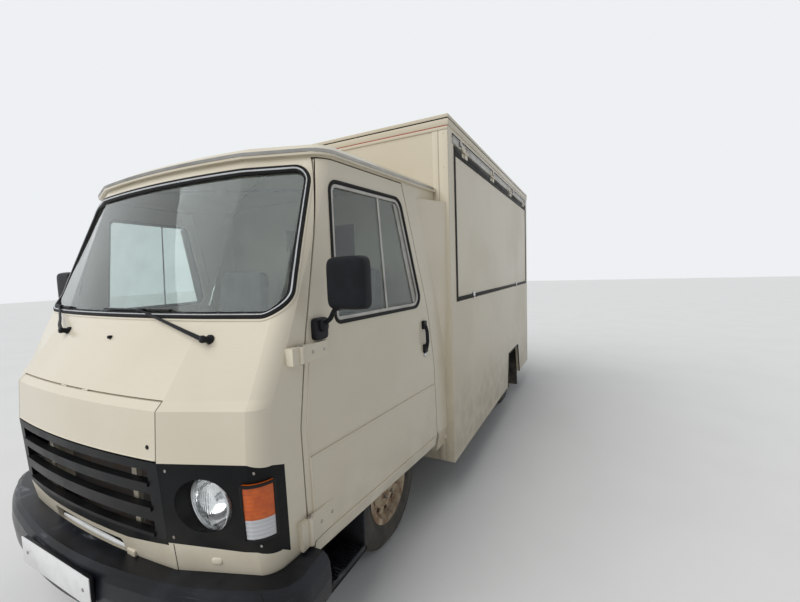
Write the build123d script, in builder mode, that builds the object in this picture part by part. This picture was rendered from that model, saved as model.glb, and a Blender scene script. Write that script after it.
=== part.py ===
from build123d import *
import os
from math import cos, radians, sin, tan

# Ice cream truck: a forward-control van cab with a square serving body behind it.
# Millimetres. +Z is up, the truck faces -Y, and +X is its left side, where the serving hatch is.
# The origin is on the ground, in the middle of the whole truck. Lengths along the truck are written
# from the front axle, and the helpers below move them to that origin.

# Lengths along the truck
WHEELBASE = 2500
FRONT_OVERHANG = 1176
REAR_OVERHANG = 1010
FRONT_AXLE = (FRONT_OVERHANG - WHEELBASE - REAR_OVERHANG) / 2
TAIL = WHEELBASE + REAR_OVERHANG

# Fits: two faces that almost touch, a shaft in its bore, a shut line, and the gap round a lid
CLOSE = 0.3
RUNNING_FIT = 0.08
SEAM = 8
GAP = 6

# Wheels and tyres
TYRE_RADIUS = 326
TYRE_WIDTH = 166
TREAD_WIDTH = 104
BEAD_RADIUS = 176
RIM_RADIUS = 196
RIM_WIDTH = 138
FRONT_WHEEL_X = 716
REAR_WHEEL_X = 822
SPINDLE_RADIUS = 20
SPINDLE_REACH = 44
HUB_CENTRE = TYRE_RADIUS

# Steering
KINGPIN_X = 620
KINGPIN_RADIUS = 13

# Serving body
BOX_WIDTH = 2026
BOX_SIDE = BOX_WIDTH / 2
BOX_BOTTOM = 282
BOX_TOP = 2452
BOX_WALL = 30
BOX_ROOF = 34
BUMPER_STAND = 32
BOX_FRONT = 467
BOX_REAR = TAIL - BUMPER_STAND
WALL_TOP = BOX_TOP - BOX_ROOF

# Floor of the serving body and the chassis rails under it
FLOOR_TOP = 600
FLOOR_THICKNESS = 40
RAIL_TOP = FLOOR_TOP - FLOOR_THICKNESS
RAIL_X = 430
RAIL_HALF = 30
RAIL_DEPTH = 120
RAIL_BOTTOM = RAIL_TOP - RAIL_DEPTH
RAIL_INNER = RAIL_X - RAIL_HALF
RAIL_OUTER = RAIL_X + RAIL_HALF

# Serving hatch in the left wall, and the hinges of hatch and rear door
HATCH_START = BOX_FRONT + 99
HATCH_END = BOX_REAR - 94
HATCH_BOTTOM = 1310
HATCH_TOP = 2300
FLAP_THICKNESS = 26
HINGE_BARREL = 7
HINGE_LEAF = 6
HINGE_STAND = 8
HINGE_WIDTH = 38
HINGE_HALF = 60
HINGE_PLAY = 0.5
HATCH_HINGES = [HATCH_START + share * (HATCH_END - HATCH_START) for share in (0.08, 0.36, 0.64, 0.92)]

# Rear door
REAR_DOOR_WIDTH = 760
REAR_DOOR_BOTTOM = 640
REAR_DOOR_TOP = 2300
REAR_DOOR_HINGES = [REAR_DOOR_BOTTOM + 180, (REAR_DOOR_BOTTOM + REAR_DOOR_TOP) / 2, REAR_DOOR_TOP - 180]

# Cab shell
CAB_WALL = 34
CAB_REACH = 1100
NOSE_REACH = -1300
TAPER = 0.085
CAB_BOTTOM = 400
EAVES = 1990
BAND_TOP = 2028

# Cab skin in plan at each height. Columns: height, nose at the centre line, nose beside the bonnet,
# start of the corner (x, then y), where the side begins (y), side's x over the axle. All y from the front axle.
BONNET_SIDE = 515
CAB_LEVELS = [
    (CAB_BOTTOM, -1035, -1005, 808, -905, -838, 905),
    (525, -1066, -1036, 812, -928, -860, 930),
    (640, -1088, -1056, 810, -945, -876, 928),
    (915, -1102, -1070, 805, -958, -890, 922),
    (1085, -1090, -1058, 800, -945, -880, 918),
    (1114, -1060, -1030, 796, -922, -860, 917),
    (1355, -905, -868, 793, -810, -754, 912),
    (EAVES, -664, -627, 775, -533, -463, 873),
    (BAND_TOP, -649, -612, 770, -520, -450, 870),
]
CORNER_SLOPE = radians(26)
CORNER_TURN = 52


def level_at(height):
    """The row of CAB_LEVELS at any height, between two rows in proportion."""
    rows = [row for row in zip(CAB_LEVELS, CAB_LEVELS[1:]) if height <= row[1][0]] or [CAB_LEVELS[-2:]]
    low, high = rows[0]
    share = (height - low[0]) / (high[0] - low[0])
    return [a + share * (b - a) for a, b in zip(low, high)]


def side_x(height, y):
    """Where the cab's left skin is."""
    return level_at(height)[6] + TAPER * y


def nose_y(height, x):
    """Where the cab's front skin is, at the centre line or off it."""
    _, nose, shoulder, corner_x, corner_y, _, _ = level_at(height)
    if abs(x) <= BONNET_SIDE:
        return nose + (shoulder - nose) * (x / BONNET_SIDE) ** 2
    return shoulder + (corner_y - shoulder) * (abs(x) - BONNET_SIDE) / (corner_x - BONNET_SIDE)


def bulge(start, end, turn):
    """Middle point of an arc that turns by so many degrees, bulging to the right of its run."""
    lift = tan(radians(turn) / 4) / 2
    run_x, run_y = end[0] - start[0], end[1] - start[1]
    return ((start[0] + end[0]) / 2 + run_y * lift, (start[1] + end[1]) / 2 - run_x * lift)


def plan_section(height, half, turns):
    """Closed plan section, the same on both sides of the centre line. half goes from the middle of the front
    round the left to the rear; turns says by how much each stretch of it turns, and 0 is a straight line."""
    left = [(x, FRONT_AXLE + y) for x, y in half]
    flipped = [(-x, y) for x, y in left]
    with BuildSketch(Plane.XY.offset(height)) as section:
        with BuildLine():
            ThreePointArc(flipped[1], left[0], left[1])
            for start, end, turn in zip(left[1:], left[2:], turns):
                if turn:
                    ThreePointArc(start, bulge(start, end, turn), end)
                else:
                    Line(start, end)
            Line(left[-1], flipped[-1])
            for start, end, turn in reversed(list(zip(left[1:], left[2:], turns))):
                far, near = (-end[0], end[1]), (-start[0], start[1])
                if turn:
                    middle = bulge(start, end, turn)
                    ThreePointArc(far, (-middle[0], middle[1]), near)
                else:
                    Line(far, near)
        make_face()
    return section.sketch


def cab_section(height, inset, lift=0, lean=0):
    """Plan section of the cab, pulled in by inset, moved up by lift, shrunk by lean towards its rear."""
    _, nose, shoulder, corner_x, corner_y, start, side = level_at(height)
    rear_x = side + TAPER * BOX_FRONT - inset
    half = [
        (0, nose + inset),
        (BONNET_SIDE, shoulder + inset),
        (corner_x - inset * sin(CORNER_SLOPE), corner_y + inset * cos(CORNER_SLOPE)),
        (side + TAPER * start - inset, start + TAPER * inset),
        (rear_x, BOX_FRONT),
    ]
    narrow = 1 - lean / rear_x
    short = 1 - lean / (BOX_FRONT - nose)
    half = [(x * narrow, BOX_FRONT + (y - BOX_FRONT) * short) for x, y in half]
    return plan_section(height + lift, half, (0, CORNER_TURN, 0))


def cab_solid(inset, stretch=0):
    """Everything inside the cab's skin, pulled in by inset."""
    heights = [row[0] for row in CAB_LEVELS]
    ends = {heights[0]: -stretch, heights[-1]: stretch}
    with BuildPart() as body:
        loft([cab_section(height, inset, ends.get(height, 0)) for height in heights], ruled=True)
    return body.part


def round_corners(section, points, radii):
    """Round the corners of a sketch that stand at the points."""
    for point, radius in zip(points, radii):
        if radius:
            fillet(section.vertices().sort_by_distance((point[0], point[1], 0))[0], radius)


def side_prism(points, x_from, x_to, radii=()):
    """A block seen from the side as the closed outline of points (y, z), its corners rounded by radii."""
    outline = [(FRONT_AXLE + y, z) for y, z in points]
    with BuildPart() as prism:
        with BuildSketch(Plane.YZ.offset(x_from)) as section:
            with BuildLine():
                Polyline(*outline, close=True)
            make_face()
            round_corners(section, outline, radii)
        extrude(amount=x_to - x_from)
    return prism.part


def front_prism(points, y_from, y_to, radii=()):
    """A block seen from the front as the closed outline of points (x, z), its corners rounded by radii."""
    with BuildPart() as prism:
        with BuildSketch(Plane.XZ.offset(-FRONT_AXLE - y_to)) as section:
            with BuildLine():
                Polyline(*points, close=True)
            make_face()
            round_corners(section, points, radii)
        extrude(amount=y_to - y_from)
    return prism.part


def rectangle(half, low, high):
    """Corners of an upright rectangle about the centre line."""
    return [(-half, low), (-half, high), (half, high), (half, low)]


def block(x_range, y_range, z_range):
    """A plain block between two corners."""
    size = [high - low for low, high in (x_range, y_range, z_range)]
    with BuildPart() as made:
        with Locations((x_range[0], FRONT_AXLE + y_range[0], z_range[0])):
            Box(*size, align=(Align.MIN, Align.MIN, Align.MIN))
    return made.part


def shaft(radius, start, end):
    """A round bar from one point to another."""
    run = Vector(*end) - Vector(*start)
    with BuildPart() as bar:
        with BuildSketch(Plane(origin=(start[0], FRONT_AXLE + start[1], start[2]), z_dir=run)):
            Circle(radius)
        extrude(amount=run.length)
    return bar.part


def mirrored(part):
    """The same piece on the right side."""
    return mirror(part, about=Plane.YZ)


def both_sides(part):
    """A piece and its mirror image."""
    return part + mirrored(part)


def save(part, label):
    """Name a finished piece and write it."""
    part.label = label
    export_step(part, f"parts/{label}.step")


os.makedirs("parts", exist_ok=True)

cab_outer = cab_solid(0)
cab_shell = cab_outer - cab_solid(CAB_WALL, stretch=20)

# Door opening seen from the side: the front edge is upright, then leans back with the pillar
DOOR_BOTTOM = 452
DOOR_TOP = EAVES - GAP
DOOR_FRONT = [(-742, DOOR_BOTTOM), (-750, 700), (-750, 960), (-692, 1314), (-522, DOOR_TOP)]
DOOR_REAR = [(80, DOOR_TOP), (180, 1596), (268, 1250), (311, 966), (311, DOOR_BOTTOM)]
WINDOW_EDGE = [(-528, 1322), (-488, 1896), (46, 1896), (186, 1322)]
WINDOW_ROUNDS = (30, 45, 60, 60)
WINDOW_INNER_X = 500

# Nose openings seen from the front
GRILLE_TOP = 914
GRILLE_EDGE = 2
GRILLE_HALF = BONNET_SIDE + GRILLE_EDGE
GRILLE_OUTLINE = [(-GRILLE_HALF, 618), (-GRILLE_HALF, GRILLE_TOP), (GRILLE_HALF, GRILLE_TOP),
                  (GRILLE_HALF, 618), (300, 594), (-300, 594)]
BONNET_BOTTOM = 920
BONNET_TOP = 1114
BONNET_GAP = 5
NOSE_CUT = -900
LAMP_PANEL_REAR = -838
LAMP_OUTLINE = [(GRILLE_HALF, 628), (GRILLE_HALF, GRILLE_TOP), (806, 913), (847, 890), (853, 866), (900, 849),
                (900, 537), (858, 560), (855, 583), (811, 606), (770, 605)]
lamp_zone = front_prism(LAMP_OUTLINE, NOSE_REACH, LAMP_PANEL_REAR)

# Air slot under the grille, with the beam that shows through it
VALANCE_SLOT = [(-255, 506), (-255, 572), (255, 572), (255, 506)]
VALANCE_ROUNDS = (14, 14, 14, 14)
BEAM_HALF = 300
BEAM_Y = (-1042, -1018)
BEAM_Z = (480, 548)

# Uprights behind the grille that carry the bonnet's catch
POST_X = 316
POST_HALF = 15
POST_Y = (-1038, -1022)
POST_FOOT = 545
CATCH_BAR = (880, 904)

# Windscreen opening seen from the front
SCREEN_EDGE = [(-832, 1376), (-785, 1944), (785, 1944), (832, 1376)]
SCREEN_ROUNDS = (80, 70, 70, 80)
SCREEN_CUT = -500
screen_zone = front_prism(SCREEN_EDGE, NOSE_REACH, SCREEN_CUT, SCREEN_ROUNDS)

# Cab door hinges: pin's place, then each hinge's middle height and half height
CAB_HINGE_X = 880
CAB_HINGE_Y = -753
CAB_HINGES = [(1235, 30), (580, 52)]
HINGE_PIN = 11
BRACKET_LENGTH = 46
LEAF_LENGTH = 150
LEAF_STAND = 5
BRACKET_ROOT = 12


def cab_hinge_half(height, half, body_side):
    """Half of a cab door hinge: bracket and middle knuckle are the body's, the rest is the door's."""
    third = half / 3
    skin = side_x(height, CAB_HINGE_Y) + (-BRACKET_ROOT if body_side else LEAF_STAND)
    near = HINGE_PIN + CLOSE
    if body_side:
        spans = [(height - third, height + third)]
        plate = (CAB_HINGE_Y - BRACKET_LENGTH, CAB_HINGE_Y - near)
        web = (CAB_HINGE_Y - near - 1, CAB_HINGE_Y)
    else:
        spans = [(height - half, height - third - HINGE_PLAY), (height + third + HINGE_PLAY, height + half)]
        plate = (CAB_HINGE_Y + near, CAB_HINGE_Y + LEAF_LENGTH)
        web = (CAB_HINGE_Y, CAB_HINGE_Y + near + 1)
    with BuildPart() as half_hinge:
        add(block((skin, CAB_HINGE_X), plate, (height - half, height + half)))
        for low, high in spans:
            add(block((skin, CAB_HINGE_X), web, (low, high)))
            add(shaft(HINGE_PIN, (CAB_HINGE_X, CAB_HINGE_Y, low), (CAB_HINGE_X, CAB_HINGE_Y, high)))
    return half_hinge.part


# Slim bonnet hinges in the gap above the bonnet
BONNET_PIVOT = (-1062, BONNET_TOP - BONNET_GAP / 2)
BONNET_BARREL = 2.3
BONNET_HINGE_X = 80
BONNET_HINGE_LENGTH = 20
BONNET_WEB = 12


def bonnet_hinge_half(body_side):
    """Half of the slim bonnet hinge on the left: the outer barrel is the front panel's."""
    low, high = (HINGE_PLAY, BONNET_HINGE_LENGTH) if body_side else (-BONNET_HINGE_LENGTH, 0)
    low, high = BONNET_HINGE_X + low, BONNET_HINGE_X + high
    web = (BONNET_PIVOT[1], BONNET_TOP + 1) if body_side else (BONNET_TOP - BONNET_GAP - 1, BONNET_PIVOT[1])
    with BuildPart() as half_hinge:
        add(shaft(BONNET_BARREL, (low, *BONNET_PIVOT), (high, *BONNET_PIVOT)))
        add(block((low, high), (BONNET_PIVOT[0] - 1, BONNET_PIVOT[0] + BONNET_WEB), web))
    return half_hinge.part


# Front panel: nose, scuttle, windscreen pillars and header, with the openings in it
nose_zone = side_prism(
    [(NOSE_REACH, CAB_BOTTOM - 10), (NOSE_REACH, EAVES), (DOOR_FRONT[-1][0] - SEAM, EAVES), (-700, 1314),
     (-756, 960), (-756, CAB_BOTTOM - 10)], -CAB_REACH, CAB_REACH)
with BuildPart() as front_panel:
    add(cab_shell & nose_zone)
    add(screen_zone, mode=Mode.SUBTRACT)
    add(front_prism(rectangle(BONNET_SIDE, BONNET_BOTTOM - BONNET_GAP - 1, BONNET_TOP), NOSE_REACH, NOSE_CUT),
        mode=Mode.SUBTRACT)
    add(front_prism(GRILLE_OUTLINE, NOSE_REACH, NOSE_CUT), mode=Mode.SUBTRACT)
    add(front_prism(VALANCE_SLOT, NOSE_REACH, NOSE_CUT, VALANCE_ROUNDS), mode=Mode.SUBTRACT)
    add(both_sides(lamp_zone), mode=Mode.SUBTRACT)
    add(block((-BEAM_HALF, BEAM_HALF), BEAM_Y, BEAM_Z))
    add(both_sides(block((POST_X - POST_HALF, POST_X + POST_HALF), POST_Y, (POST_FOOT, CATCH_BAR[1]))))
    add(block((-POST_X, POST_X), POST_Y, CATCH_BAR))
    add(both_sides(bonnet_hinge_half(True)))
    for middle, half in CAB_HINGES:
        add(both_sides(cab_hinge_half(middle, half, True)))
save(front_panel.part, "front_panel")

# Windscreen glass in its opening
GLASS = 6
GLASS_SET = 10
glass_layer = cab_solid(GLASS_SET) - cab_solid(GLASS_SET + GLASS, stretch=20)
with BuildPart() as windscreen:
    add(glass_layer & screen_zone)
save(windscreen.part, "windscreen")

# Cab quarters: the panels behind the doors, with the fairing out to the serving body.
# Fairing columns: height, where it leaves the quarter panel (y), how far out it meets the body's front wall
FAIRING_LEVELS = [(440, 452, 962), (1080, 450, 966), (1306, 393, 985), (1930, 226, 996)]
ARCH_REAR = 352
ARCH_CORNER = 540


def fairing():
    """Wedge from the quarter panel's crease out to the serving body's front wall."""
    with BuildPart() as wedge:
        for height, crease, outer in FAIRING_LEVELS:
            inner = side_x(height, BOX_FRONT) - SEAM
            near = side_x(height, crease)
            with BuildSketch(Plane.XY.offset(height)):
                with BuildLine():
                    Polyline((near, FRONT_AXLE + crease), (outer, FRONT_AXLE + BOX_FRONT),
                             (inner, FRONT_AXLE + BOX_FRONT), (near - SEAM, FRONT_AXLE + crease), close=True)
                make_face()
        loft(ruled=True)
    return wedge.part


behind_door = [(y + GAP, z) for y, z in DOOR_REAR[1:-1]]
quarter_zone = side_prism(
    [(ARCH_REAR, CAB_BOTTOM - 10), (ARCH_REAR - 4, 500), (behind_door[-1][0], ARCH_CORNER)] + behind_door[::-1]
    + [(DOOR_REAR[0][0] + GAP, EAVES), (BOX_FRONT, EAVES), (BOX_FRONT, CAB_BOTTOM - 10)], 600, CAB_REACH)
with BuildPart() as cab_quarters:
    add(both_sides((cab_shell & quarter_zone) + fairing()))
save(cab_quarters.part, "cab_quarters")

# Cab roof: band over the doors and windscreen, gutter, and crowned skin. Columns: height, how far it leans in
ROOF_STEPS = [(EAVES, 0), (BAND_TOP, 0), (BAND_TOP + 24, 22), (BAND_TOP + 38, 70), (BAND_TOP + 52, 180)]
ROOF_SKIN = 20
GUTTER_LOW = EAVES + 8
GUTTER_TOP = EAVES + 30
GUTTER_REACH = 16
GUTTER_WALL = 4
GUTTER_FLOOR = 8


def roof_form(inset, drop):
    """Roof solid from the eaves up, pulled in and lowered."""
    with BuildPart() as form:
        sections = []
        for height, lean in ROOF_STEPS:
            skin = min(height, BAND_TOP)
            low = 2 * drop if height == EAVES else drop
            sections.append(cab_section(skin, inset, height - skin - low, lean))
        loft(sections, ruled=True)
    return form.part


def ring(z_low, z_high, outset_out, outset_in):
    """Band round the cab between two outsets of its outline."""
    with BuildPart() as band:
        extrude(cab_section(EAVES, -outset_out, z_low - EAVES), amount=z_high - z_low)
        extrude(cab_section(EAVES, -outset_in, z_low - EAVES), amount=z_high - z_low, mode=Mode.SUBTRACT)
    return band.part


with BuildPart() as cab_roof:
    add(roof_form(0, 0))
    add(roof_form(CAB_WALL, ROOF_SKIN), mode=Mode.SUBTRACT)
    add(ring(GUTTER_LOW, GUTTER_TOP, GUTTER_REACH, -SEAM))
    channel = ring(GUTTER_LOW + GUTTER_FLOOR, GUTTER_TOP + 1, GUTTER_REACH - GUTTER_WALL, GUTTER_WALL)
    add(channel, mode=Mode.SUBTRACT)
save(cab_roof.part, "cab_roof")

# Cab doors: shell with pressed creases and an apron that hangs over the wheel, then glass and fittings
APRON = 6
SILL = 690
CREASE_STEP = 4
FIELD_FRONT = -724
FIELD_REAR = 288
FIELD_BOTTOM = DOOR_BOTTOM + 24
CREASES = [(840, CREASE_STEP), (523, 2 * CREASE_STEP)]
door_zone = side_prism(DOOR_FRONT + DOOR_REAR, WINDOW_INNER_X, CAB_REACH)
window_zone = side_prism(WINDOW_EDGE, WINDOW_INNER_X, CAB_REACH, WINDOW_ROUNDS)
apron_back = cab_solid(APRON, stretch=20) & block((300, CAB_REACH), (-900, 400), (DOOR_BOTTOM - 20, SILL))
with BuildPart() as door_left:
    add((cab_shell & door_zone) - apron_back)
    add(window_zone, mode=Mode.SUBTRACT)
    for crease, proud in CREASES:
        field = block((600, CAB_REACH), (FIELD_FRONT, FIELD_REAR), (FIELD_BOTTOM, crease))
        add((cab_solid(-proud) - cab_outer) & field)
    for middle, half in CAB_HINGES:
        add(cab_hinge_half(middle, half, False))
save(door_left.part, "door_left")
save(mirrored(door_left.part), "door_right")

with BuildPart() as door_glass_left:
    add(glass_layer & window_zone)
save(door_glass_left.part, "door_glass_left")
save(mirrored(door_glass_left.part), "door_glass_right")

MIRROR_AT = (1012, -640, 1484)
MIRROR_SIZE = (176, 58, 196)
MIRROR_EDGE = 15
ARM_FOOT = (-630, 1312)
ARM_RADIUS = 9
ARM_PAD = 45
BOSS = 12
HANDLE_Y = 205
HANDLE_Z = 1142
HANDLE_HALF = 92
HANDLE_PAD = 21
GRIP_HALF = 14
GRIP_STAND = (8, 24)
with BuildPart() as fittings_left:
    with Locations((MIRROR_AT[0], FRONT_AXLE + MIRROR_AT[1], MIRROR_AT[2])):
        Box(*MIRROR_SIZE)
    chamfer(fittings_left.edges(), length=MIRROR_EDGE)
    on_skin = cab_solid(-BOSS) - cab_outer
    pad_y, pad_z = ARM_FOOT
    add(on_skin & block((600, CAB_REACH), (pad_y - ARM_PAD, pad_y + ARM_PAD),
                        (pad_z - ARM_PAD, pad_z + ARM_PAD)))
    foot = (side_x(pad_z, pad_y) + ARM_RADIUS, pad_y, pad_z + 8)
    add(shaft(ARM_RADIUS, foot, (MIRROR_AT[0] - 60, MIRROR_AT[1], MIRROR_AT[2] - 80)))
    for end in (HANDLE_Z - HANDLE_HALF + HANDLE_PAD, HANDLE_Z + HANDLE_HALF - HANDLE_PAD):
        add(on_skin & block((600, CAB_REACH), (HANDLE_Y - HANDLE_PAD, HANDLE_Y + HANDLE_PAD),
                            (end - HANDLE_PAD, end + HANDLE_PAD)))
    grip_x = side_x(HANDLE_Z, HANDLE_Y)
    add(block([grip_x + stand for stand in GRIP_STAND], (HANDLE_Y - GRIP_HALF, HANDLE_Y + GRIP_HALF),
              (HANDLE_Z - HANDLE_HALF, HANDLE_Z + HANDLE_HALF)))
    add(cab_outer, mode=Mode.SUBTRACT)
save(fittings_left.part, "door_fittings_left")
save(mirrored(fittings_left.part), "door_fittings_right")

# Bonnet panel
with BuildPart() as bonnet:
    add(cab_shell & front_prism(rectangle(BONNET_SIDE - BONNET_GAP, BONNET_BOTTOM, BONNET_TOP - BONNET_GAP),
                                NOSE_REACH, NOSE_CUT))
    add(both_sides(bonnet_hinge_half(False)))
save(bonnet.part, "bonnet")

# Grille: black panel with three long slots and a ridge along the foot of each. Columns: slot's foot and head
GRILLE_DEPTH = 22
SLOTS = [(839, 882), (749, 796), (655, 697)]
SLOT_HALF = 465
RIDGE_HEIGHT = 14
RIDGE_STAND = 6
inner_outline = [(x - CLOSE if x > 0 else x + CLOSE, z - CLOSE if z == GRILLE_TOP else z + CLOSE)
                 for x, z in GRILLE_OUTLINE]
with BuildPart() as grille:
    add((cab_outer - cab_solid(GRILLE_DEPTH, stretch=20)) & front_prism(inner_outline, NOSE_REACH, NOSE_CUT))
    for foot, head in SLOTS:
        add(block((-SLOT_HALF, SLOT_HALF), (NOSE_REACH, NOSE_CUT), (foot, head)), mode=Mode.SUBTRACT)
    for foot, head in SLOTS:
        add((cab_solid(-RIDGE_STAND) - cab_solid(RIDGE_STAND))
            & block((-SLOT_HALF, SLOT_HALF), (NOSE_REACH, NOSE_CUT), (foot - RIDGE_HEIGHT, foot)))
save(grille.part, "grille")

# Cross members of the chassis, front to rear
MEMBER_WIDTH = 60
MEMBER_EDGE = 20
FRONT_MEMBER = -975
CAB_MEMBER = BOX_FRONT - 47
SPRING_MEMBER = WHEELBASE - 600
REAR_MEMBER = WHEELBASE + 600
MIDDLE_MEMBER = (CAB_MEMBER + SPRING_MEMBER) / 2
CROSS_MEMBERS = [FRONT_MEMBER, CAB_MEMBER, MIDDLE_MEMBER, SPRING_MEMBER, REAR_MEMBER]
MEMBER_TOP = RAIL_TOP - MEMBER_EDGE
MEMBER_BOTTOM = RAIL_BOTTOM + MEMBER_EDGE

# Radiator behind the grille, standing on the front cross member
RADIATOR_HALF = 290
RADIATOR_DEPTH = 50
with BuildPart() as radiator:
    add(block((-RADIATOR_HALF, RADIATOR_HALF), (FRONT_MEMBER, FRONT_MEMBER + RADIATOR_DEPTH),
              (MEMBER_TOP + CLOSE, CATCH_BAR[1])))
save(radiator.part, "radiator")

# Lamp panels, headlamps and front indicators
LAMP_SKIN = 14
HEADLAMP_AT = (652, 766)
HEADLAMP_RADIUS = 95
HEADLAMP_FACE = -990
LAMP_POCKET = 110
TUNNEL_DEPTH = 20
INDICATOR_FRONT_X = 788
INDICATOR_REAR_Y = -892
INDICATOR_Z = (652, 848)
INDICATOR_STAND = 10
INDICATOR_DEPTH = 40


def lamp_bar(radius, y_from, y_to):
    """Round bar on the left headlamp's axis."""
    x, z = HEADLAMP_AT
    return shaft(radius, (x, y_from, z), (x, y_to, z))


def indicator_block(clearance):
    """Where the left indicator wraps the corner, made smaller all round by a clearance."""
    low, high = INDICATOR_Z
    return block((INDICATOR_FRONT_X + clearance, CAB_REACH), (NOSE_REACH, INDICATOR_REAR_Y - clearance),
                 (low + clearance, high - clearance))


with BuildPart() as lamp_panels:
    panel = (cab_outer - cab_solid(LAMP_SKIN, stretch=20)) & lamp_zone
    tunnel = lamp_bar(HEADLAMP_RADIUS + LAMP_SKIN, NOSE_REACH, HEADLAMP_FACE + TUNNEL_DEPTH)
    panel = panel + (cab_outer & tunnel & lamp_zone)
    panel = panel - lamp_bar(HEADLAMP_RADIUS + CLOSE, NOSE_REACH, HEADLAMP_FACE + LAMP_POCKET + 1)
    add(both_sides(panel - indicator_block(0)))
save(lamp_panels.part, "lamp_panels")

with BuildPart() as headlamps:
    add(both_sides(lamp_bar(HEADLAMP_RADIUS, HEADLAMP_FACE + LAMP_POCKET, HEADLAMP_FACE)))
save(headlamps.part, "headlamps")

with BuildPart() as indicators:
    lens = (cab_solid(-INDICATOR_STAND) - cab_solid(INDICATOR_DEPTH, stretch=20)) & indicator_block(CLOSE)
    add(both_sides(lens))
save(indicators.part, "indicators")

# Front bumper: black wrap-round moulding with a broad top ledge. Columns: height, how far it is rounded in
BUMPER_REAR = -748
BUMPER_RINGS = [(330, 24), (358, 6), (430, 0), (484, 5), (505, 16), (516, 34)]
BUMPER_HALF = [(0, -FRONT_OVERHANG), (430, -1139), (905, -985), (973, -868), (960, BUMPER_REAR)]
BUMPER_TURNS = (22, 61, 0)
BUMPER_SLOPE = radians(29)


def bumper_section(height, inset):
    """Plan section of the bumper, pulled in by inset."""
    front, shoulder, corner, side, rear = BUMPER_HALF
    half = [(0, front[1] + inset), (shoulder[0], shoulder[1] + inset),
            (corner[0] - inset * sin(BUMPER_SLOPE), corner[1] + inset * cos(BUMPER_SLOPE)),
            (side[0] - inset, side[1]), (rear[0] - inset, rear[1])]
    return plan_section(height, half, BUMPER_TURNS)


with BuildPart() as front_bumper:
    loft([bumper_section(height, inset) for height, inset in BUMPER_RINGS], ruled=True)
    add(cab_solid(-CLOSE), mode=Mode.SUBTRACT)
    extrude(cab_section(CAB_BOTTOM, -CLOSE), amount=BUMPER_RINGS[0][0] - CAB_BOTTOM - 1, mode=Mode.SUBTRACT)
save(front_bumper.part, "front_bumper")

# Entry steps: black mouldings ahead of the front wheels, under the doors, hung from the rails
STEP_X = (700, 880)
STEP_Y = (-700, -390)
STEP_Z = (250, 400)
BRACKET_Y = (-640, -600)
BRACKET_THICKNESS = 30
HANGER_THICKNESS = 10
with BuildPart() as steps:
    bracket = block((RAIL_OUTER + CLOSE, STEP_X[0] + 20), BRACKET_Y, (STEP_Z[1] - BRACKET_THICKNESS, STEP_Z[1]))
    hanger = block((RAIL_OUTER + CLOSE, RAIL_OUTER + HANGER_THICKNESS), BRACKET_Y,
                   (STEP_Z[1] - BRACKET_THICKNESS, RAIL_TOP - MEMBER_EDGE))
    add(both_sides(block(STEP_X, STEP_Y, STEP_Z) + bracket + hanger))
save(steps.part, "steps")

# Wipers. Columns: spindle's x, x where the arm meets the blade, the blade's two ends
WIPERS = [(580, 178, -102, 339), (-344, -643, -800, -470)]
SPINDLE_Z = 1299
BLADE_Z = 1400
SPINDLE_STAND = 30
ARM_STAND = 22
BLADE_RADIUS = 5
BLADE_STAND = 7
with BuildPart() as wipers:
    for pivot_x, tip_x, blade_from, blade_to in WIPERS:
        root = nose_y(SPINDLE_Z, pivot_x)
        spindle_end = (pivot_x, root - SPINDLE_STAND, SPINDLE_Z)
        add(shaft(2 * BLADE_RADIUS, (pivot_x, root + SEAM, SPINDLE_Z), spindle_end))
        tip = (tip_x, nose_y(BLADE_Z, tip_x) - ARM_STAND, BLADE_Z)
        add(shaft(BLADE_RADIUS, (pivot_x, root - SPINDLE_STAND + BLADE_RADIUS, SPINDLE_Z), tip))
        add(shaft(BLADE_RADIUS, tip, (tip_x, nose_y(BLADE_Z, tip_x) + BLADE_RADIUS, BLADE_Z)))
        ends = [(x, nose_y(BLADE_Z, x) - BLADE_STAND, BLADE_Z) for x in (blade_from, blade_to)]
        add(shaft(BLADE_RADIUS, *ends))
    add(front_panel.part, mode=Mode.SUBTRACT)
save(wipers.part, "wipers")

# Cab floor: floor pan, toe board, wheel housings and engine cover
HOUSING_TOP = 676
FLOOR_PAN = 14
PAN_TOP = HOUSING_TOP + FLOOR_PAN
TOE_BOARD = -800
TOE_TOP = 1060
COVER_HALF = 226
COVER_REAR = -150
COVER_TOP = 900
HOUSING_X = (500, 510)
HOUSING_REACH = 420
with BuildPart() as cab_floor:
    inside = cab_solid(CAB_WALL + CLOSE)
    add(inside & block((-CAB_REACH, CAB_REACH), (TOE_BOARD, BOX_FRONT), (HOUSING_TOP, PAN_TOP)))
    add(inside & block((-CAB_REACH, CAB_REACH), (TOE_BOARD, TOE_BOARD + FLOOR_PAN), (HOUSING_TOP, TOE_TOP)))
    add(block((-COVER_HALF, COVER_HALF), (TOE_BOARD, COVER_REAR), (HOUSING_TOP, COVER_TOP)))
    add(block((-COVER_HALF + FLOOR_PAN, COVER_HALF - FLOOR_PAN), (TOE_BOARD - 1, COVER_REAR - FLOOR_PAN),
              (HOUSING_TOP - 1, COVER_TOP - FLOOR_PAN)), mode=Mode.SUBTRACT)
    add(both_sides(block(HOUSING_X, (-HOUSING_REACH, HOUSING_REACH), (RAIL_BOTTOM + 30, HOUSING_TOP + 2))))
save(cab_floor.part, "cab_floor")

# Dashboard with the steering column. Its front face is clear of the bonnet's ends, whose top corners swing
# down as it opens, and the wheel's centre is on the column's line
DASH_FRONT = level_at(BONNET_TOP)[2] + CAB_WALL + 12
DASH_PROFILE = [(DASH_FRONT, 1330), (-830, 1330), (-660, 1270), (-620, 1200), (-700, 1080), (-800, 1060),
                (DASH_FRONT, 1060)]
WHEEL_CENTRE = (-430, -540, 1190)
COLUMN_LEAN = radians(38)
COLUMN_LENGTH = 290
COLUMN_RADIUS = 26
HUB_LENGTH = 40


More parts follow.
